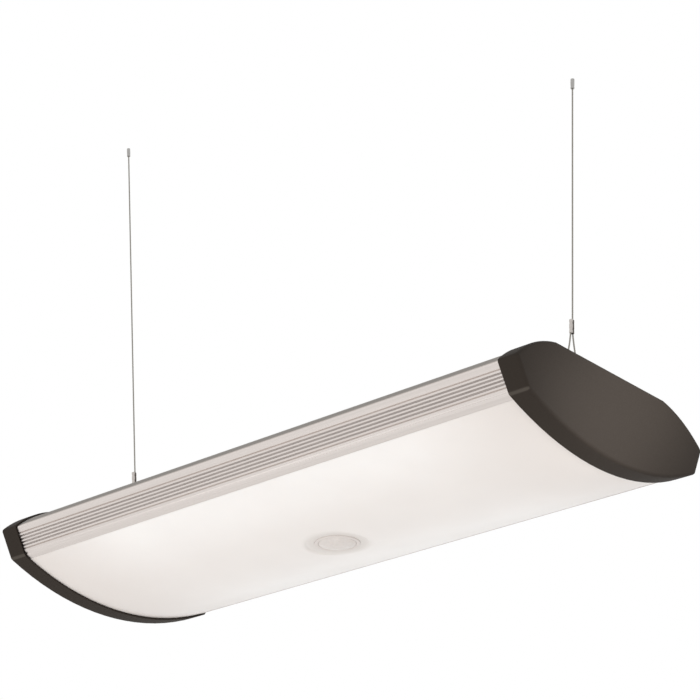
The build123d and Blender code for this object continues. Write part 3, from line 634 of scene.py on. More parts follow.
class Outline:
    """A chain of straight runs and arcs in a plane, whose corners are rounded one by one."""

    def __init__(self, start: Point2) -> None:
        """Starts the chain at a point."""
        self.chain: list[Vector] = [Vector(start)]
        self.corners: dict[int, float] = {}

    def line(self, end: Point2, radius: float = 0.0) -> "Outline":
        """Adds a straight run.

        Args:
            end: where it ends.
            radius: rounding of the corner there.

        Returns:
            The chain itself.
        """
        self.chain.append(Vector(end))
        self.corners[len(self.chain) - 1] = radius
        return self

    def arc(self, centre: Point2, end: Point2, radius: float = 0.0) -> "Outline":
        """Adds an arc.

        Args:
            centre: the arc's centre.
            end: where it ends.
            radius: rounding of the corner there.

        Returns:
            The chain itself.
        """
        middle = Vector(centre)
        start = self.chain[-1] - middle
        turn = start.angle_signed(Vector(end) - middle)
        steps = max(2, math.ceil(abs(turn) / ARC_STEP))
        for step in range(1, steps):
            self.chain.append(middle + Matrix.Rotation(-turn * step / steps, 2) @ start)
        return self.line(end, radius)

    def points(self) -> list[Vector]:
        """Turns each rounded corner into an arc.

        Returns:
            The points of the whole chain.
        """
        rounded: list[Vector] = []
        for place, corner in enumerate(self.chain):
            radius = self.corners.get(place, 0.0)
            if not radius or place + 1 == len(self.chain):
                rounded.append(corner)
                continue
            before = (corner - self.chain[place - 1]).normalized()
            after = (self.chain[place + 1] - corner).normalized()
            turn = before.angle_signed(after)
            reach = radius * math.tan(abs(turn) / 2)
            start = corner - before * reach
            side = Vector((-before.y, before.x)) * math.copysign(radius, -turn)
            steps = max(2, math.ceil(abs(turn) / ROUND_STEP))
            for step in range(steps + 1):
                rounded.append(start + side - Matrix.Rotation(-turn * step / steps, 2) @ side)
        return rounded


class GeometryRecipe:
    """A Geometry Nodes tree with named inputs, run once on a piece to make its plain mesh."""

    def __init__(self, name: str, inputs: dict[str, str]) -> None:
        """Starts a tree.

        Args:
            name: the tree's name.
            inputs: socket type of each named input beside the geometry and the material.
        """
        self.tree = bpy.data.node_groups.new(name, "GeometryNodeTree")
        sockets = {"Geometry": "NodeSocketGeometry", "Material": "NodeSocketMaterial", **inputs}
        for label, kind in sockets.items():
            self.tree.interface.new_socket(label, in_out="INPUT", socket_type=kind)
        self.tree.interface.new_socket("Geometry", in_out="OUTPUT", socket_type="NodeSocketGeometry")
        self.given = self.tree.nodes.new("NodeGroupInput").outputs

    def add(self, kind: str, settings: dict | None = None, inputs: dict | None = None) -> bpy.types.Node:
        """Adds a node to the tree."""
        return add_node(self.tree, kind, settings, inputs)

    def end(self, geometry: bpy.types.NodeSocket) -> None:
        """Ends the tree in plain geometry with its material.

        Args:
            geometry: the shape to finish.
        """
        solid = self.add("GeometryNodeRealizeInstances", inputs={"Geometry": geometry})
        dressed = {"Geometry": solid.outputs["Geometry"], "Material": self.given["Material"]}
        last = self.add("GeometryNodeSetMaterial", inputs=dressed)
        self.add("NodeGroupOutput", inputs={"Geometry": last.outputs["Geometry"]})

    def make(self, piece: bpy.types.Object, values: dict[str, object]) -> None:
        """Runs the tree on a piece and keeps the result as its mesh.

        Args:
            piece: the object whose mesh goes in.
            values: what each named input is set to, the material among them.
        """
        modifier = piece.modifiers.new(self.tree.name, "NODES")
        modifier.node_group = self.tree
        for item in self.tree.interface.items_tree:
            if item.in_out == "INPUT" and item.name in values:
                modifier[item.identifier] = values[item.name]
        keep_result(piece, modifier)
        piece.data.materials.clear()
        piece.data.materials.append(values["Material"])


@dataclass
class PhotoCamera:
    """The camera of the photograph: below the light and in front of its right end, looking up.

    Attributes:
        position: where it stands.
        azimuth: degrees round the light, from the front towards the right end.
        elevation: degrees above the horizon.
        roll: degrees that the picture leans.
        focal_length: on a sensor of the given width.
        sensor: width of the sensor.
    """

    position: Point3 = (1181.1, -1393.4, -729.6)
    azimuth: float = 39.85
    elevation: float = -24.83
    roll: float = -0.79
    focal_length: float = 109.36
    sensor: float = 36.0

    def build(self) -> None:
        """Makes the camera and sets it as the scene's own."""
        data = bpy.data.cameras.new("photo_camera")
        data.sensor_width = self.sensor
        data.lens = self.focal_length
        camera = add_object("photo_camera", data)
        turn, rise, lean = (math.radians(angle) for angle in (self.azimuth, self.elevation, self.roll))
        level = Matrix.Rotation(turn, 4, "Z") @ Matrix.Rotation(math.pi / 2 - rise, 4, "X")
        place = Matrix.Translation(Vector(self.position) * MM)
        camera.matrix_world = place @ level @ Matrix.Rotation(lean, 4, "Z")
        bpy.context.scene.camera = camera


@dataclass
class Softbox:
    """A studio lamp with a flat face that points at a place of the light.

    Attributes:
        name: what it is for.
        position: where it stands.
        target: where it points.
        sides: width and height of its face.
        power: watts.
        lean: degrees that its face is turned in its own plane.
        mirrored: whether metal and glossy surfaces show it.
    """

    name: str
    position: Point3
    target: Point3
    sides: Point2
    power: float
    lean: float = 0.0
    mirrored: bool = False

    def build(self) -> None:
        """Hangs the lamp."""
        data = bpy.data.lights.new(self.name, "AREA")
        data.shape = "RECTANGLE"
        data.size, data.size_y = (side * MM for side in self.sides)
        data.energy = self.power
        lamp = add_object(self.name, data)
        start, end = Vector(self.position), Vector(self.target)
        lamp.location = start * MM
        lean = Quaternion((0.0, 0.0, 1.0), math.radians(self.lean))
        lamp.rotation_euler = ((end - start).to_track_quat("-Z", "Y") @ lean).to_euler()
        lamp.visible_camera = False
        lamp.visible_glossy = self.mirrored


@dataclass
class Studio:
    """A white room with soft light: the background shows white, and the floor lies far below.

    Attributes:
        ambient: level of the light from all round.
        floor_drop: how far the floor is under the light's top face.
        floor_radius: reach of the floor.
        floor_colour: sRGB hex colour of the floor.
        shadow_radius: how far from the middle the floor shows shadows.
        shadow_share: share of the floor's own shading that shows in the middle.
        lamps: the softboxes.
    """

    ambient: float = 0.72
    floor_drop: float = 3200.0
    floor_radius: float = 6000.0
    floor_colour: str = "#F4F2F0"
    shadow_radius: float = 3000.0
    shadow_share: float = 0.35
    lamps: tuple[Softbox, ...] = (
        Softbox("front_softbox", (300.0, -1650.0, -2200.0), (0.0, 0.0, -60.0), (1400.0, 1400.0), 27.0),
        Softbox(
            "edge_softbox",
            (-1160.0, -730.0, -1500.0),
            (0.0, -60.0, -60.0),
            (600.0, 600.0),
            0.9,
            mirrored=True,
        ),
        Softbox("end_softbox", (348.0, 6.0, -30.0), (305.0, 6.0, -30.0), (210.0, 122.0), 0.176, lean=42.0),
    )

    @staticmethod
    def background_rays(tree: bpy.types.NodeTree) -> bpy.types.NodeSocket:
        """Picks the rays that show the background: from the camera, off metal and through glass.

        Args:
            tree: the world's or the floor's tree.

        Returns:
            The output that is 1 for such rays.
        """
        rays = add_node(tree, "ShaderNodeLightPath").outputs
        seen = rays["Is Camera Ray"]
        for name in ("Is Glossy Ray", "Is Transmission Ray"):
            either = {0: seen, 1: rays[name]}
            seen = add_node(tree, "ShaderNodeMath", {"operation": "MAXIMUM"}, either).outputs[0]
        return seen

    def build(self) -> None:
        """Sets the world, the floor, the lamps and the plain view."""
        scene = bpy.context.scene
        scene.view_settings.view_transform = "Standard"
        self.build_world(scene)
        self.build_floor()
        for lamp in self.lamps:
            lamp.build()

    def build_world(self, scene: bpy.types.Scene) -> None:
        """Makes a world that lights evenly and shows white.

        Args:
            scene: the scene that it is for.
        """
        world = bpy.data.worlds.new("white_room")
        tree = bare_tree(world)
        level = {"Value": self.background_rays(tree), "To Min": self.ambient, "To Max": 1.0}
        strength = add_node(tree, "ShaderNodeMapRange", inputs=level).outputs["Result"]
        glow = {"Color": linear(WHITE), "Strength": strength}
        light = add_node(tree, "ShaderNodeBackground", inputs=glow)
        add_node(tree, "ShaderNodeOutputWorld", inputs={"Surface": light.outputs["Background"]})
        scene.world = world

    def build_floor(self) -> None:
        """Lays a pale round floor that fades into the white round it and keeps shadows in its middle."""
        floor = mesh_piece("floor", turned_ring(self.floor_radius, -self.floor_drop), [range(LATHE_STEPS)])
        material = bpy.data.materials.new("pale_floor")
        tree = bare_tree(material)
        place = add_node(tree, "ShaderNodeTexCoord").outputs["Object"]
        levels = (1.0 - self.shadow_share, 1.0)
        white = distance_ramp(tree, place, (1.0, 1.0, 0.0), (0.0, self.shadow_radius), levels)
        inputs = {0: white, 1: self.background_rays(tree)}
        share = add_node(tree, "ShaderNodeMath", {"operation": "MULTIPLY"}, inputs).outputs[0]
        pale = {"Color": linear(self.floor_colour)}
        matte = add_node(tree, "ShaderNodeBsdfDiffuse", inputs=pale).outputs["BSDF"]
        plain = add_node(tree, "ShaderNodeEmission", inputs={"Color": linear(WHITE)}).outputs["Emission"]
        mixed = add_node(tree, "ShaderNodeMixShader", inputs={0: share, 1: matte, 2: plain})
        add_node(tree, "ShaderNodeOutputMaterial", inputs={"Surface": mixed.outputs["Shader"]})
        floor.data.materials.append(material)


@dataclass
class BodySection:
    """The body's section, seen along the light: half widths from the middle and drops below the top.

    Attributes:
        top_half: half width of the flat top.
        rim_half: half width at the rim, where the body is widest.
        rim_drop: drop of the rim.
        shoulder_bulge: rise of the shoulder's arc over its chord.
        foot_half: half width at the foot of the slanting side.
        foot_drop: drop of the foot.
        belly_drop: drop of the belly's lowest line.
        rim_radius: rounding of the rim.
        foot_radius: rounding of the foot.
        top_radius: rounding where the top turns into the shoulder.
    """

    top_half: float = 80.0
    rim_half: float = 135.7
    rim_drop: float = 28.7
    shoulder_bulge: float = 4.5
    foot_half: float = 122.7
    foot_drop: float = 52.8
    belly_drop: float = field(default_factory=lambda: -box_mm("lens")[0].z)
    rim_radius: float = 1.2
    foot_radius: float = 2.0
    top_radius: float = 2.0

    def __post_init__(self) -> None:
        """Works out the belly's and the shoulder's arcs and the direction of the side."""
        sag = self.belly_drop - self.foot_drop
        self.belly_radius = (self.foot_half**2 + sag**2) / (2 * sag)
        self.belly_centre = self.belly_radius - self.belly_drop
        self.rim = Vector((self.rim_half, -self.rim_drop))
        self.foot = Vector((self.foot_half, -self.foot_drop))
        self.side_length = (self.foot - self.rim).length
        self.down = (self.foot - self.rim).normalized()
        self.outward = Vector((-self.down.y, self.down.x))
        chord = self.rim - Vector((self.top_half, 0.0))
        half = chord.length / 2
        radius = (half**2 + self.shoulder_bulge**2) / (2 * self.shoulder_bulge)
        inward = Vector((chord.y, -chord.x)).normalized()
        self.shoulder_centre = self.rim - chord / 2 + inward * (radius - self.shoulder_bulge)

    def side_point(self, along: float, inward: float) -> Vector:
        """Gives a point of the rear side, so far down from the rim and so far in from its face."""
        return self.rim + self.down * along - self.outward * inward

    def shoulder_point(self, up: float) -> Vector:
        """Gives a point of the rear shoulder, so far up its arc from the rim."""
        spoke = self.rim - self.shoulder_centre
        return self.shoulder_centre + Matrix.Rotation(up / spoke.length, 2) @ spoke

    def belly_height(self, across: float, radius: float) -> float:
        """Gives the height of a curve concentric with the belly."""
        return self.belly_centre - math.sqrt(radius**2 - across**2)

    def plain_half(self) -> Outline:
        """Draws the rear half of the outer face.

        Returns:
            The outline from the middle of the top to the belly's lowest line.
        """
        outline = Outline((0.0, 0.0)).line((self.top_half, 0.0), self.top_radius)
        outline.arc(self.shoulder_centre, self.rim, self.rim_radius).line(self.foot, self.foot_radius)
        return outline.arc((0.0, self.belly_centre), (0.0, -self.belly_drop))


def both_halves(half: Sequence[Vector]) -> list[Vector]:
    """Closes a half outline that starts and ends on the middle line with its mirror image."""
    mirrored = [Vector((-point.x, point.y)) for point in half[1:-1]]
    return list(half) + mirrored[::-1]


@dataclass
class Housing:
    """The aluminium body: an extrusion with ribbed sides, shoulders and a flat top with its holes.

    Attributes:
        section: the body's section.
        wall: thickness of the sheet.
        backing: thickness of the sides behind the ribs.
        bright_edge: width of the strip above the rim that is finished as the sides are.
        groove_count: grooves in each side.
        groove_pitch: distance between grooves.
        groove_width: width of a groove.
        groove_depth: depth of a groove.
        end_groove: width of the floor and depth of the first groove and the last, whose walls slope.
        first_groove: distance of the first groove from the rim.
        dull_share: shares of the groove's depth between which its faces get the painted groove shade.
        ledge: distances from the rim where the side starts to set in above the lip, and has set in.
        ledge_depth: how far it sets in.
        lip_half: half width of the body where the lip that holds the lens starts.
        lip_width: width of the lip, up to the body's foot.
        edge_radius: rounding of the ribs' edges.
        ceiling_hole: radius of the ceiling screw holes.
        inlet_hole: radius of the mains inlet's hole.
        drill_depth: length of the drills that cut the holes.
    """

    section: BodySection
    wall: float = 2.0
    backing: float = 4.0
    bright_edge: float = 3.3
    groove_count: int = 6
    groove_pitch: float = 3.1
    groove_width: float = 1.4
    groove_depth: float = 1.6
    end_groove: Point2 = (0.3, 0.75)
    first_groove: float = 6.5
    dull_share: Point2 = (0.45, 1.05)
    ledge: Point2 = (25.2, 26.5)
    ledge_depth: float = 0.9
    lip_half: float = 121.34
    lip_width: float = 6.6
    edge_radius: float = 0.25
    ceiling_hole: float = 2.8
    inlet_hole: float = 9.0
    drill_depth: float = 8.0

    @property
    def last_groove(self) -> float:
        """Distance of the last groove from the rim."""
        return self.first_groove + (self.groove_count - 1) * self.groove_pitch

    def half_section(self) -> list[Vector]:
        """Draws the rear half of the extrusion's section.

        Returns:
            Points down the outside past the ribs to the lip, and back up the inside.
        """
        body, edge = self.section, self.edge_radius
        outline = Outline((0.0, 0.0)).line((body.top_half, 0.0), body.top_radius)
        outline.arc(body.shoulder_centre, body.shoulder_point(self.bright_edge))
        outline.arc(body.shoulder_centre, body.rim, body.rim_radius)
        last = self.last_groove
        for groove in range(self.groove_count):
            middle = self.first_groove + groove * self.groove_pitch
            (floor, depth), mouth = self.end_groove, self.groove_width
            if self.first_groove < middle < last:
                floor, depth = mouth, self.groove_depth
            for width, inward in ((-mouth, 0.0), (-floor, depth), (floor, depth), (mouth, 0.0)):
                outline.line(body.side_point(middle + width / 2, inward), edge)
        outline.line(body.side_point(self.ledge[0], 0.0), body.foot_radius)
        outline.line(body.side_point(self.ledge[1], self.ledge_depth), edge)
        outline.line((self.lip_half, body.belly_height(self.lip_half, body.belly_radius)), edge)
        lip = body.foot_half - self.lip_width
        centre = (0.0, body.belly_centre)
        inner = body.belly_radius - self.wall
        outline.arc(centre, (lip, body.belly_height(lip, body.belly_radius)), edge)
        outline.line((lip, body.belly_height(lip, inner)), edge)
        corner = body.side_point(body.side_length, self.wall)
        outline.arc(centre, (corner.x, body.belly_height(corner.x, inner)))
        below, above = last + self.groove_pitch / 2, self.groove_pitch
        behind = ((below, self.wall), (below, self.backing), (above, self.backing), (above, self.wall))
        for along, inward in (*behind, (self.wall, self.wall)):
            outline.line(body.side_point(along, inward))
        outline.arc(body.shoulder_centre, (body.top_half, -self.wall)).line((0.0, -self.wall))
        return outline.points()

    def extrusion(self) -> GeometryRecipe:
        """Sets out the tree that pulls the section to its length and drills it.

        Returns:
            The tree.
        """
        recipe = GeometryRecipe(
            "drilled_extrusion",
            {"Length": "NodeSocketFloat", "Drills": "NodeSocketObject", "Drill Depth": "NodeSocketFloat"},
        )
        given = recipe.given
        pull = {"Mesh": given["Geometry"], "Offset": (1.0, 0.0, 0.0), "Offset Scale": given["Length"]}
        pulled = recipe.add("GeometryNodeExtrudeMesh", inputs={**pull, "Individual": False}).outputs["Mesh"]
        start = recipe.add("GeometryNodeFlipFaces", inputs={"Mesh": given["Geometry"]}).outputs["Mesh"]
        joined = recipe.add("GeometryNodeJoinGeometry", inputs={"Geometry": [pulled, start]})
        merge = {"Geometry": joined.outputs["Geometry"], "Distance": MERGE_DISTANCE * MM}
        closed = recipe.add("GeometryNodeMergeByDistance", inputs=merge).outputs["Geometry"]
        drill = {"Vertices": LATHE_STEPS, "Radius": 1.0, "Depth": given["Drill Depth"]}
        cutter = recipe.add("GeometryNodeMeshCylinder", inputs=drill).outputs["Mesh"]
        places = recipe.add("GeometryNodeObjectInfo", inputs={"Object": given["Drills"]}).outputs["Geometry"]
        radius = recipe.add(
            "GeometryNodeInputNamedAttribute", {"data_type": "FLOAT"}, {"Name": "radius"}
        ).outputs["Attribute"]
        scale = recipe.add("ShaderNodeCombineXYZ", inputs={"X": radius, "Y": radius, "Z": 1.0})
        set_out = {"Points": places, "Instance": cutter, "Scale": scale.outputs["Vector"]}
        cutters = recipe.add("GeometryNodeInstanceOnPoints", inputs=set_out).outputs["Instances"]
        drills = recipe.add("GeometryNodeRealizeInstances", inputs={"Geometry": cutters}).outputs["Geometry"]
        cut = {"Mesh 1": closed, "Mesh 2": drills}
        drilled = recipe.add("GeometryNodeMeshBoolean", {"operation": "DIFFERENCE"}, cut).outputs["Mesh"]
        recipe.end(drilled)
        return recipe

    def dress(self, piece: bpy.types.Object) -> None:
        """Gives the top its mill finish, whose low edge tint paints a dark reflection along the rim, and the
        grooves their painted shade.

        Args:
            piece: the extrusion, all in its first finish.
        """
        body = self.section
        for finish in (MILL_FINISH_RIM_SHADE, GROOVE_SHADE):
            piece.data.materials.append(finish.material())
        mill, dull = 1, 2
        half_pitch = self.groove_pitch / 2
        bright = body.shoulder_point(self.bright_edge).y
        for polygon in piece.data.polygons:
            _, across, height = polygon.center / MM
            flank = Vector((abs(across), height)) - body.rim
            share, along = -flank.dot(body.outward) / self.groove_depth, flank.dot(body.down)
            ribbed = self.first_groove - half_pitch < along < self.last_groove + half_pitch
            # partly painted: the shoulder and top take the mill finish, whose low edge tint paints the dark
            # reflection along the rim
            if height > bright and polygon.normal.z > 0:
                polygon.material_index = mill
            # painted shade: the deeper faces of the inner grooves take the darker groove colour
            elif ribbed and self.dull_share[0] < share < self.dull_share[1]:
                polygon.material_index = dull

    def build(self) -> None:
        """Makes the extrusion between the ends of its solid."""
        low, high = box_mm("housing")
        inlet_low, inlet_high = box_mm("inlet_bushing")
        section = both_halves(self.half_section())[::-1]
        start = [Vector((low.x, *point)) for point in section]
        piece = mesh_piece("ribbed_housing", start, [range(len(start))])
        spacing = frame["record"]["mounts"][0]["dims"]["spacing_x_mm"]
        inlet = (inlet_low.x + inlet_high.x) / 2
        holes = [(end * spacing / 2, self.ceiling_hole) for end in (-1, 1)] + [(inlet, self.inlet_hole)]
        drills = mesh_piece("drills", [Vector((x, 0.0, 0.0)) for x, _ in holes], [])
        radii = drills.data.attributes.new("radius", "FLOAT", "POINT")
        for place, (_, radius) in enumerate(holes):
            radii.data[place].value = radius * MM
        sizes = {"Length": (high.x - low.x) * MM, "Drills": drills, "Drill Depth": self.drill_depth * MM}
        self.extrusion().make(piece, {"Material": ANODISED.material(), **sizes})
        self.dress(piece)
        bpy.data.objects.remove(drills)
        settle(piece, FIXTURE, "aluminium_body", "housing")


@dataclass
class EndCap:
    """A moulded cap: a cup over the body's end, with soft edges and a plain bare face.

    Attributes:
        section: the body's section.
        side: which end it closes.
        proud: how far its skirt stands out from the body.
        fit: room between the skirt and the body.
        overlap: how far the skirt goes over the body.
        step: how far the inner stop stands in from the body's face.
        face: thickness of the end face.
        edge_radius: rounding of the face's edge.
        mouth_radius: rounding of the mouth's edge.
        border: width of the flat border that keeps the face's shading flat.
        edge_steps: steps of the face's rounded edge.
    """

    section: BodySection
    side: Side
    proud: float = 1.8
    fit: float = 0.2
    overlap: float = 8.2
    step: float = 2.2
    face: float = 2.5
    edge_radius: float = 3.0
    mouth_radius: float = 0.35
    border: float = 1.5
    edge_steps: int = 8

    def build(self) -> None:
        """Skins the cup from its inner face round the mouth to its outer face."""
        node = f"{self.side.label}_end_cap"
        low, high = box_mm(node)
        mouth, outside = (low.x, high.x) if self.side is Side.RIGHT else (high.x, low.x)
        sign = self.side.value
        outline = both_halves(self.section.plain_half().points())
        count = len(outline)
        tangents = [outline[(place + 1) % count] - outline[place - 1] for place in range(count)]
        normals = [Vector((-tangent.y, tangent.x)).normalized() for tangent in tangents]
        stop = mouth + sign * self.overlap
        inner_face = outside - sign * self.face
        soft = self.mouth_radius
        stations = [(-self.step, inner_face), (-self.step, stop), (self.fit, stop)]
        stations += [(self.fit, mouth + sign * soft), (self.fit + soft, mouth)]
        stations += [(self.proud - soft, mouth), (self.proud, mouth + sign * soft), (self.proud, stop)]
        for step in range(self.edge_steps + 1):
            turn = math.pi / 2 * step / self.edge_steps
            shrink = self.edge_radius * (1 - math.cos(turn))
            reach = self.edge_radius * (1 - math.sin(turn))
            stations.append((self.proud - shrink, outside - sign * reach))
        rings = [
            [Vector((x, *(point + normal * grow))) for point, normal in zip(outline, normals)]
            for grow, x in stations
        ]
        middle = Vector((outside, 0.0, (low.z + high.z) / 2))
        rings.append([point + (middle - point).normalized() * self.border for point in rings[-1]])
        settle(loft(f"{self.side.label}_moulded_cap", rings), FIXTURE, "end_cap_plastic", node)


@dataclass
class OpalLens:
    """The curved opal lens, with a flat round recess for the sensor and edges that go behind the lips.

    Attributes:
        section: the body's section.
        sheet: thickness of the sheet.
        inset: how far its face lies behind the lips that hold it.
        half_width: half width of the part that shows.
        flange_half: half width of the edges behind the lips.
        flange_rise: how far the edges lie above the lens's face.
        recess_radius: radius of the recess at its mouth.
        recess_slope: how much narrower its floor is.
        recess_depth: depth of the floor above the belly's lowest line.
        bore: radius of the opening for the sensor.
        softness: rounding of the recess's edges.
        patch: half width of the square that takes the recess.
        patch_cells: cells along each side of the square.
        strips: strips of the sheet on each side of the square.
        rings: rings of faces between the opening and the recess's mouth.
        outer_rings: shares of the way on to the square's edge where the last rings lie.
    """

    section: BodySection
    sheet: float = 2.4
    inset: float = 0.4
    half_width: float = 115.8
    flange_half: float = 120.0
    flange_rise: float = 1.8
    recess_radius: float = 31.5
    recess_slope: float = 2.5
    recess_depth: float = 1.7
    bore: float = 21.06
    softness: float = 0.35
    patch: float = 40.0
    patch_cells: int = 24
    strips: int = 18
    rings: int = 26
    outer_rings: Point2 = (0.5, 1.0)

    def soft_maximum(self, first: float, second: float) -> float:
        """Gives the larger of two heights, rounded where they are alike."""
        return (first + second + math.hypot(first - second, self.softness)) / 2

    def face_height(self, x: float, y: float) -> float:
        """Works out the height of the lens's outer face.

        Args:
            x: place along the light.
            y: place across it.

        Returns:
            The height there.
        """
        floor = self.recess_depth - self.section.belly_drop
        away = math.hypot(x, y) - (self.recess_radius - self.recess_slope)
        wall = floor - self.soft_maximum(away, 0.0) * self.recess_depth / self.recess_slope
        return self.soft_maximum(wall, self.section.belly_height(y, self.section.belly_radius - self.inset))

    def patch_quads(self, lines: Sequence[float]) -> list[list[Vector]]:
        """Lays rings from the opening out to the square, so that the recess is round.

        Args:
            lines: places of the square's corners along its sides.

        Returns:
            The corners of each face.
        """
        edge = [(line, -self.patch) for line in lines[:-1]] + [(self.patch, line) for line in lines[:-1]]
        edge += [(-x, -y) for x, y in edge]
        spokes = [Vector(point) for point in edge]
        rings = []
        reach = self.recess_radius + self.recess_slope
        for ring in range(self.rings + 1):
            share = ring / self.rings
            radius = self.bore + (reach - self.bore) * share
            rings.append([spoke.normalized() * radius for spoke in spokes])
        rings += [[a.lerp(b, share) for a, b in zip(rings[-1], spokes)] for share in self.outer_rings]
        raised = [[Vector((p.x, p.y, self.face_height(p.x, p.y))) for p in ring] for ring in rings]
        count = len(spokes)
        return [
            [inner[k - 1], inner[k], outer[k], outer[k - 1]]
            for inner, outer in zip(raised, raised[1:])
            for k in range(count)
        ]

    def sheet_quads(self, lines: Sequence[float], end: float) -> list[list[Vector]]:
        """Lays the sheet round the square, with its edges stepped up behind the lips.

        Args:
            lines: places of the square's corners along its sides.
            end: half length of the lens.

        Returns:
            The corners of each face.
        """
        shares = [step / self.strips for step in range(1, self.strips)]
        columns, rows = (
            [self.patch + (edge - self.patch) * share for share in shares] + [edge]
            for edge in (end, self.half_width)
        )
        raised = [(row, 0.0) for row in rows]
        raised += [(self.half_width, self.flange_rise), (self.flange_half, self.flange_rise)]
        across = [(-row, rise) for row, rise in raised[::-1]] + [(line, 0.0) for line in lines] + raised
        along = [-column for column in columns[::-1]] + list(lines) + columns
        quads = []
        for (y0, rise0), (y1, rise1) in zip(across, across[1:]):
            for x0, x1 in zip(along, along[1:]):
                if max(abs(x0), abs(x1), abs(y0), abs(y1)) <= self.patch:
                    continue
                corners = ((x0, y0, rise0), (x1, y0, rise0), (x1, y1, rise1), (x0, y1, rise1))
                quads.append([Vector((x, y, self.face_height(x, y) + rise)) for x, y, rise in corners])
        return quads

    def build(self) -> None:
        """Makes the sheet and gives it its thickness."""
        cells = self.patch_cells
        lines = [self.patch * (2 * step / cells - 1) for step in range(cells + 1)]
        quads = self.patch_quads(lines) + self.sheet_quads(lines, box_mm("lens")[1].x)
        points = [point for quad in quads for point in quad]
        faces = [range(4 * place, 4 * place + 4) for place in range(len(quads))]
        piece = mesh_piece("opal_lens_sheet", points, faces)
        if sum(polygon.normal.z for polygon in piece.data.polygons) > 0:
            piece.data.flip_normals()
        thick = piece.modifiers.new("thickness", "SOLIDIFY")
        thick.thickness = self.sheet * MM
        thick.offset = -1.0
        keep_result(piece, thick)
        settle(piece, FIXTURE, "opal_lens", "lens")


@dataclass
class MotionSensor:
    """The sensor's ring and dome in the middle of the lens.

    Attributes:
        pad_floor: height of the recess's floor.
        sheet: thickness of the lens there.
        ring_radius: outer radius of the ring.
        ring_width: width of the ring.
        ring_proud: how far the ring stands below the floor.
        ring_soft: rounding of the ring's edges.
        dome_soft: rounding of the dome's edge.
        flange_radius: radius of the flanges above the lens.
        flange: thickness of the ring's flange.
        gap: room between the ring and the dome.
        seat: how far the dome's flange reaches over the ring.
        seat_flange: thickness of the dome's flange.
        dome_proud: how far the dome's edge stands below the floor.
        dome_drop: depth of the dome's curve.
        dome_wall: thickness of the dome.
        facets: number of flat facets in each ring on the dome's face.
        facet_radii: radii of the facets' corners, from the middle outwards.
    """

    pad_floor: float = -77.6
    sheet: float = 2.4
    ring_radius: float = 21.0
    ring_width: float = 3.6
    ring_proud: float = 1.0
    ring_soft: float = 0.8
    dome_soft: float = 0.45
    flange_radius: float = 24.5
    flange: float = 1.2
    gap: float = 0.2
    seat: float = 1.8
    seat_flange: float = 1.0
    dome_proud: float = 0.8
    dome_drop: float = 3.4
    dome_wall: float = 1.0
    facets: int = 8
    facet_radii: tuple[float, ...] = (5.0, 10.0, 14.6)

    def ring_profile(self) -> list[Vector]:
        """Draws the ring's section.

        Returns:
            Radius and height of each point, as a closed loop.
        """
        inside, bottom = self.ring_radius - self.ring_width, self.pad_floor - self.ring_proud
        lens_top = self.pad_floor + self.sheet
        top = lens_top + self.flange
        ledge, seat = top - self.seat_flange, inside + self.seat
        outline = Outline((seat, top)).line((seat, ledge)).line((inside, ledge))
        outline.line((inside, bottom), self.ring_soft).line((self.ring_radius, bottom), self.ring_soft)
        outline.line((self.ring_radius, lens_top)).line((self.flange_radius, lens_top))
        return outline.line((self.flange_radius, top)).points()

    def dome_rings(self) -> Rings:
        """Lays out the dome's rings: flat facets on its face, then round its edge and flange to the inside.

        Returns:
            The rings, from the middle of the outer face to that of the inner face.
        """
        edge = self.ring_radius - self.ring_width - self.gap
        top = self.pad_floor + self.sheet + self.flange
        seat, ledge = edge + self.seat, top - self.seat_flange
        rim = self.pad_floor - self.dome_proud
        bottom = rim - self.dome_drop
        curve = (edge**2 + self.dome_drop**2) / (2 * self.dome_drop)
        inner = edge - self.dome_wall
        heights = [bottom + curve - math.sqrt(curve**2 - radius**2) for radius in self.facet_radii]
        corners = list(zip(self.facet_radii, heights))
        rings = [turned_ring(0.0, heights[0])] + [turned_ring(*corner, self.facets) for corner in corners]
        outline = Outline(corners[-1])
        outline.arc((0.0, bottom + curve), (edge, rim), self.dome_soft)
        outline.line((edge, ledge)).line((seat, ledge)).line((seat, top)).line((inner, top))
        start = bottom + self.dome_wall
        inner_rim = start + curve - math.sqrt(curve**2 - inner**2)
        outline.line((inner, inner_rim)).arc((0.0, start + curve), (0.0, start))
        return rings + [turned_ring(*point) for point in outline.points()[1:]]

    def build(self) -> None:
        """Turns both pieces round the sensor's axis and keeps the dome's facets flat."""
        ring = lathe("sensor_ring", self.ring_profile(), Matrix.Identity(4), closed=True)
        settle(ring, FIXTURE, "sensor_plastic", "sensor_bezel")
        dome = loft("sensor_lens_dome", self.dome_rings())
        settle(dome, FIXTURE, "sensor_dome", "sensor_dome")
        for face in dome.data.polygons:
            outside = face.normal.z < 0 and face.center.z < self.pad_floor * MM
            face.use_smooth = not (outside and face.center.xy.length < self.facet_radii[-1] * MM)


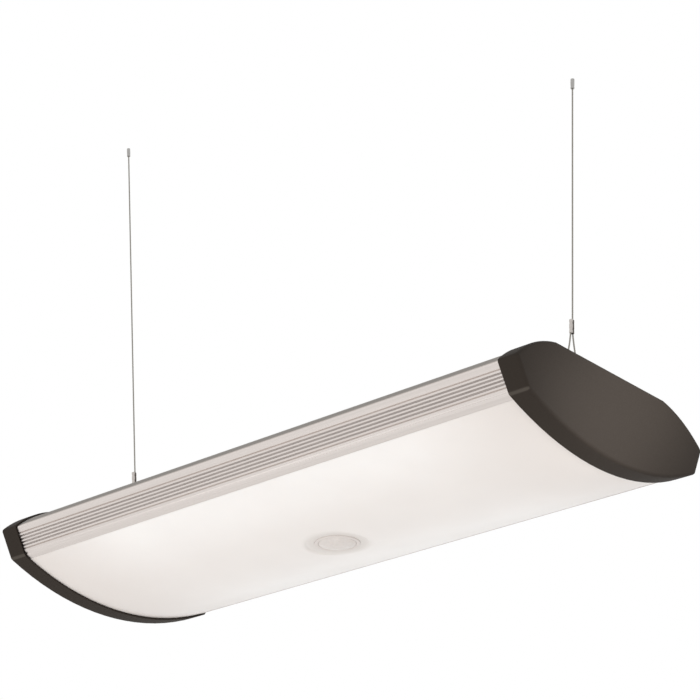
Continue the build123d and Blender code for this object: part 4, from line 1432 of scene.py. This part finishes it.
@dataclass
class HangingCable:
    """A wire rope that loops through its bracket's eye, with a crimped sleeve and a stop at the top.

    Attributes:
        side: which end it hangs.
        reach: height of its top end above the eye, along the cable.
        length: length of the rope, from its tail in the sleeve to the stop; not used.
        hanger: distance of the eye from the middle of the light.
        eye_height: height of the rope in the eye.
        splay: degrees that the cable leans outwards.
        diameter: of the rope; not used.
        strands: outer strands.
        tip: radius of the section's points, which are rounded off to the rope's own.
        valley: radius where two strands meet.
        crown: rounding of a strand's crown.
        crown_steps: steps of that rounding.
        lay: length of one turn of the strands.
        step: distance between the rope's rings.
        eye_half: half width of the loop in the eye.
        loop_half: half width of the loop where it is widest.
        loop_rise: height of that place.
        neck: distance from the sleeve where the loop's runs come together.
        spread: distance of each run from the sleeve's middle.
        sleeve_start: height of the sleeve's lower end.
        sleeve_length: length of the sleeve.
        sleeve_radius: radius of each of its two barrels.
        sleeve_end: shares of its length and scales of its section along the rounded end.
        sleeve_waist: the same along a pressed waist.
        cleft: half width of the painted dark reflection in the cleft between them.
        stop_length: length of the stop.
        stop_radius: radius of the stop.
        stop_neck: heights where its swaged neck starts and ends.
        stop_soft: rounding of its ends and length of the neck's slopes.
    """

    side: Side
    reach: float
    length: float
    hanger: float = 264.5
    eye_height: float = 14.05
    splay: float = 3.9
    diameter: float = 1.5
    strands: int = 6
    tip: float = 0.785
    valley: float = 0.63
    crown: float = 0.2
    crown_steps: int = 2
    lay: float = 11.0
    step: float = 0.7
    eye_half: float = 4.2
    loop_half: float = 7.8
    loop_rise: float = 7.4
    neck: float = 1.5
    spread: float = 1.1
    sleeve_start: float = 35.0
    sleeve_length: float = 13.0
    sleeve_radius: float = 1.65
    sleeve_end: tuple[Point2, ...] = ((0.0, 0.78), (0.012, 0.92), (0.04, 1.0))
    sleeve_waist: tuple[Point2, ...] = ((0.2, 1.0), (0.23, 0.93), (0.33, 0.93), (0.36, 1.0))
    cleft: float = 1.0
    stop_length: float = 10.0
    stop_radius: float = 1.8
    stop_neck: Point2 = (2.0, 3.0)
    stop_soft: float = 0.4

    def __post_init__(self) -> None:
        """Works out the cable's placement: X across the light, Y up the cable."""
        lean = math.radians(self.splay) * self.side.value
        across, rise = Vector((0.0, 1.0, 0.0)), Vector((math.sin(lean), 0.0, math.cos(lean)))
        self.placement = Matrix((across, rise, across.cross(rise))).transposed().to_4x4()
        self.placement.translation = (self.side.value * self.hanger, 0.0, self.eye_height)
        self.body = f"{self.side.label}_cable"

    def route_points(self) -> list[Point2]:
        """Lists the rope's control points.

        Returns:
            Places across and up the cable: tail in the sleeve, round the eye, back through and up.
        """
        near, far = self.sleeve_start - self.neck, self.sleeve_start + self.sleeve_length
        tail = [(-self.spread, far), (-self.spread, near)]
        tail += [(-self.loop_half, self.loop_rise), (-self.eye_half, 0.0)]
        back = [(-x, y) for x, y in tail[::-1]]
        return tail + back + [(self.spread, self.reach - self.stop_length / 2)]

    def route(self) -> bpy.types.Object:
        """Makes the bare line that the rope follows.

        Returns:
            An object whose mesh is the line's points and edges.
        """
        name = f"{self.side.label}_wire_rope"
        curve = bpy.data.curves.new(f"{name}_route", "CURVE")
        curve.dimensions = "3D"
        spline = curve.splines.new("NURBS")
        points = [self.placement @ Vector((x, y, 0.0)) * MM for x, y in self.route_points()]
        spline.points.add(len(points) - 1)
        for control, point in zip(spline.points, points):
            control.co = (*point, 1.0)
        spline.order_u = ROUTE_ORDER
        spline.use_endpoint_u = True
        spline.resolution_u = ROUTE_STEPS
        line = add_object(f"{name}_route", curve)
        mesh = plain_mesh(line)
        bpy.data.objects.remove(line)
        return add_object(name, mesh)

    @staticmethod
    def rope_recipe() -> GeometryRecipe:
        """Sets out the tree that sweeps a lobed, twisted section along a route.

        Returns:
            The tree.
        """
        recipe = GeometryRecipe(
            "twisted_wire_rope",
            {
                "Strands": "NodeSocketInt",
                "Tip": "NodeSocketFloat",
                "Valley": "NodeSocketFloat",
                "Crown": "NodeSocketFloat",
                "Crown Steps": "NodeSocketInt",
                "Twist": "NodeSocketFloat",
                "Step": "NodeSocketFloat",
            },
        )
        given = recipe.given
        line = recipe.add("GeometryNodeMeshToCurve", inputs={"Mesh": given["Geometry"]}).outputs["Curve"]
        even = {"Curve": line, "Length": given["Step"]}
        line = recipe.add("GeometryNodeResampleCurve", {"mode": "LENGTH"}, even).outputs["Curve"]
        along = recipe.add("GeometryNodeSplineParameter").outputs["Length"]
        turn = recipe.add("ShaderNodeMath", {"operation": "MULTIPLY"}, {0: along, 1: given["Twist"]})
        tilt = {"Curve": line, "Tilt": turn.outputs[0]}
        line = recipe.add("GeometryNodeSetCurveTilt", inputs=tilt).outputs["Curve"]
        lobes = {"Points": given["Strands"], "Inner Radius": given["Valley"], "Outer Radius": given["Tip"]}
        star = recipe.add("GeometryNodeCurveStar", inputs=lobes).outputs["Curve"]
        soften = {"Curve": star, "Radius": given["Crown"], "Count": given["Crown Steps"]}
        rounded = {**soften, "Limit Radius": True}
        section = recipe.add("GeometryNodeFilletCurve", {"mode": "POLY"}, rounded).outputs["Curve"]
        sweep = {"Curve": line, "Profile Curve": section, "Fill Caps": True}
        recipe.end(recipe.add("GeometryNodeCurveToMesh", inputs=sweep).outputs["Mesh"])
        return recipe

    def build_sleeve(self) -> bpy.types.Object:
        """Makes the crimped sleeve: two joined barrels with rounded ends and two pressed waists.

        Returns:
            The sleeve.
        """
        half = math.acos(-self.spread / self.sleeve_radius)
        steps = LATHE_STEPS // 3
        turns = [half * (2 * step / steps - 1) for step in range(steps)]
        right = [
            Vector((self.spread + self.sleeve_radius * math.cos(turn), self.sleeve_radius * math.sin(turn)))
            for turn in turns
        ]
        outline = right + [-point for point in right]
        lower = list(self.sleeve_end + self.sleeve_waist)
        stations = lower + [(1 - share, scale) for share, scale in lower[::-1]]
        rings = []
        for share, scale in stations:
            height = self.sleeve_start + share * self.sleeve_length
            rings.append([self.placement @ Vector((p.x * scale, height, p.y * scale)) for p in outline])
        return loft(f"{self.side.label}_crimp_sleeve", rings)

    def dress_sleeve(self, sleeve: bpy.types.Object) -> None:
        """Gives the sleeve bright barrels, and a painted dark reflection in the cleft between them.

        Args:
            sleeve: the sleeve, bare.
        """
        for finish in (CRIMP_SLEEVE, SLEEVE_CLEFT_REFLECTION):
            sleeve.data.materials.append(finish.material())
        upright = self.placement.inverted()
        for polygon in sleeve.data.polygons:
            polygon.material_index = int(abs((upright @ (polygon.center / MM)).x) < self.cleft)

    def build_stop(self) -> bpy.types.Object:
        """Turns the stop at the rope's top end, with rounded ends and a swaged neck.

        Returns:
            The stop.
        """
        full, soft, (foot, shoulder) = self.stop_radius, self.stop_soft, self.stop_neck
        neck = full - soft / 2
        outline = Outline((0.0, 0.0)).line((full, 0.0), soft).line((full, foot)).line((neck, foot + soft))
        outline.line((neck, shoulder)).line((full, shoulder + soft)).line((full, self.stop_length), soft)
        profile = outline.line((0.0, self.stop_length)).points()
        start = Matrix.Translation((self.spread, self.reach - self.stop_length, 0.0))
        axis = self.placement @ start @ Matrix.Rotation(-math.pi / 2, 4, "X")
        return lathe(f"{self.side.label}_swaged_stop", profile, axis)

    def build(self, recipe: GeometryRecipe) -> None:
        """Args:
            recipe: the tree that makes the rope of its route.
        """
        sleeve, stop, rope = self.build_sleeve(), self.build_stop(), self.route()
        self.dress_sleeve(sleeve)
        settle(sleeve, self.body, "ferrule_aluminium", f"{self.body}_ferrule")
        settle(stop, self.body, "stop_steel", f"{self.body}_stop")
        recipe.make(
            rope,
            {
                "Material": WIRE_ROPE.material(),
                "Strands": self.strands,
                "Tip": self.tip * MM,
                "Valley": self.valley * MM,
                "Crown": self.crown * MM,
                "Crown Steps": self.crown_steps,
                "Twist": math.tau / (self.lay * MM),
                "Step": self.step * MM,
            },
        )
        settle(rope, self.body, "rope_steel", f"{self.body}_rope", f"{self.body}_loop")


@dataclass
class ScrewSet:
    """Pan-head screws with cross recesses, which stand in the top face.

    Attributes:
        name: the piece's name.
        node: the solid that it replaces.
        places: X and Y of each screw.
        seat: height of the face under the heads.
        head: radius of a head.
        height: height of a head.
        shank: radius of a shank.
        length: length of a shank.
        slot: width of the recess.
        depth: depth of the recess.
    """

    name: str
    node: str
    places: list[Point2]
    seat: float
    head: float
    height: float
    shank: float
    length: float
    slot: float = 0.8
    depth: float = 0.7

    @staticmethod
    def cross_head_recipe() -> GeometryRecipe:
        """Sets out the tree that cuts the recess and sets a screw on each point.

        Returns:
            The tree.
        """
        recipe = GeometryRecipe(
            "cross_head_screws",
            {
                "Screw": "NodeSocketObject",
                "Slot Length": "NodeSocketFloat",
                "Slot Width": "NodeSocketFloat",
                "Slot Height": "NodeSocketFloat",
                "Head Height": "NodeSocketFloat",
            },
        )
        given = recipe.given
        blank = recipe.add("GeometryNodeObjectInfo", inputs={"Object": given["Screw"]}).outputs["Geometry"]
        raise_up = recipe.add("ShaderNodeCombineXYZ", inputs={"Z": given["Head Height"]}).outputs["Vector"]
        shape = blank
        for x, y in (("Slot Length", "Slot Width"), ("Slot Width", "Slot Length")):
            sides = {"X": given[x], "Y": given[y], "Z": given["Slot Height"]}
            size = recipe.add("ShaderNodeCombineXYZ", inputs=sides)
            bar = recipe.add("GeometryNodeMeshCube", inputs={"Size": size.outputs["Vector"]}).outputs["Mesh"]
            moved = {"Geometry": bar, "Translation": raise_up}
            blade = recipe.add("GeometryNodeTransform", inputs=moved).outputs["Geometry"]
            cut = {"Mesh 1": shape, "Mesh 2": blade}
            shape = recipe.add("GeometryNodeMeshBoolean", {"operation": "DIFFERENCE"}, cut).outputs["Mesh"]
        set_out = {"Points": given["Geometry"], "Instance": shape}
        recipe.end(recipe.add("GeometryNodeInstanceOnPoints", inputs=set_out).outputs["Instances"])
        return recipe

    def build(self, recipe: GeometryRecipe) -> None:
        """Makes the screws on their seats.

        Args:
            recipe: the tree that makes screws of their places.
        """
        outline = Outline((0.0, -self.length)).line((self.shank, -self.length), self.shank / 3)
        outline.line((self.shank, 0.0)).line((self.head, 0.0), self.height / 12)
        outline.line((self.head, self.height), self.height / 2).line((0.0, self.height))
        blank = lathe("screw_blank", outline.points(), Matrix.Identity(4))
        piece = mesh_piece(self.name, [Vector((x, y, self.seat)) for x, y in self.places], [])
        recipe.make(
            piece,
            {
                "Material": ZINC.material(),
                "Screw": blank,
                "Slot Length": self.head * MM,
                "Slot Width": self.slot * MM,
                "Slot Height": 2 * self.depth * MM,
                "Head Height": self.height * MM,
            },
        )
        bpy.data.objects.remove(blank)
        settle(piece, FIXTURE, "zinc_steel", self.node)


def screw_sets() -> list[ScrewSet]:
    """Lists the screws that show on the top, where their solids are.

    Returns:
        The cap screws and the bracket screws.
    """
    cap_high = box_mm("end_cap_screws")[1]
    bracket_low, bracket_high = box_mm("bracket_screws")
    cap_head, bracket_head, bracket_pitch = 2.8, 4.0, 18.0
    cap_x, cap_y = cap_high.x - cap_head, cap_high.y - cap_head
    outer, bracket_y = bracket_high.x - bracket_head, (bracket_low.y + bracket_high.y) / 2
    cap = ScrewSet(
        "cap_pan_screws",
        "end_cap_screws",
        [(x, y) for x in (-cap_x, cap_x) for y in (-cap_y, cap_y)],
        seat=1.8,
        head=cap_head,
        height=1.8,
        shank=1.5,
        length=5.8,
    )
    bracket = ScrewSet(
        "bracket_pan_screws",
        "bracket_screws",
        [(sign * x, bracket_y) for sign in (-1, 1) for x in (outer - bracket_pitch, outer)],
        seat=2.0,
        head=bracket_head,
        height=2.6,
        shank=2.0,
        length=8.8,
    )
    return [cap, bracket]


def dress_solids() -> None:
    """Gives every solid the procedural finish of its slot, hidden ones too."""
    for part in frame["record"]["subparts"]:
        solid = frame["nodes"][part["node"]]
        finish = FINISH_OF_SLOT[part["material_slot"]]
        solid.data.materials.clear()
        solid.data.materials.append(finish.material())
        LOG.info("%s: %s", part["node"], finish.name)


def main() -> None:
    """Builds the camera, the cables, the studio and the light's pieces in order."""
    logging.basicConfig(level=logging.INFO, format="%(message)s")
    PhotoCamera().build()
    rope = HangingCable.rope_recipe()
    HangingCable(Side.LEFT, reach=436.0, length=477.6).build(rope)
    HangingCable(Side.RIGHT, reach=285.5, length=327.1).build(rope)
    Studio().build()
    section = BodySection()
    Housing(section).build()
    for side in Side:
        EndCap(section, side).build()
    OpalLens(section).build()
    MotionSensor().build()
    cross_head = ScrewSet.cross_head_recipe()
    for screws in screw_sets():
        screws.build(cross_head)
    dress_solids()


if __name__ == "__main__":
    main()
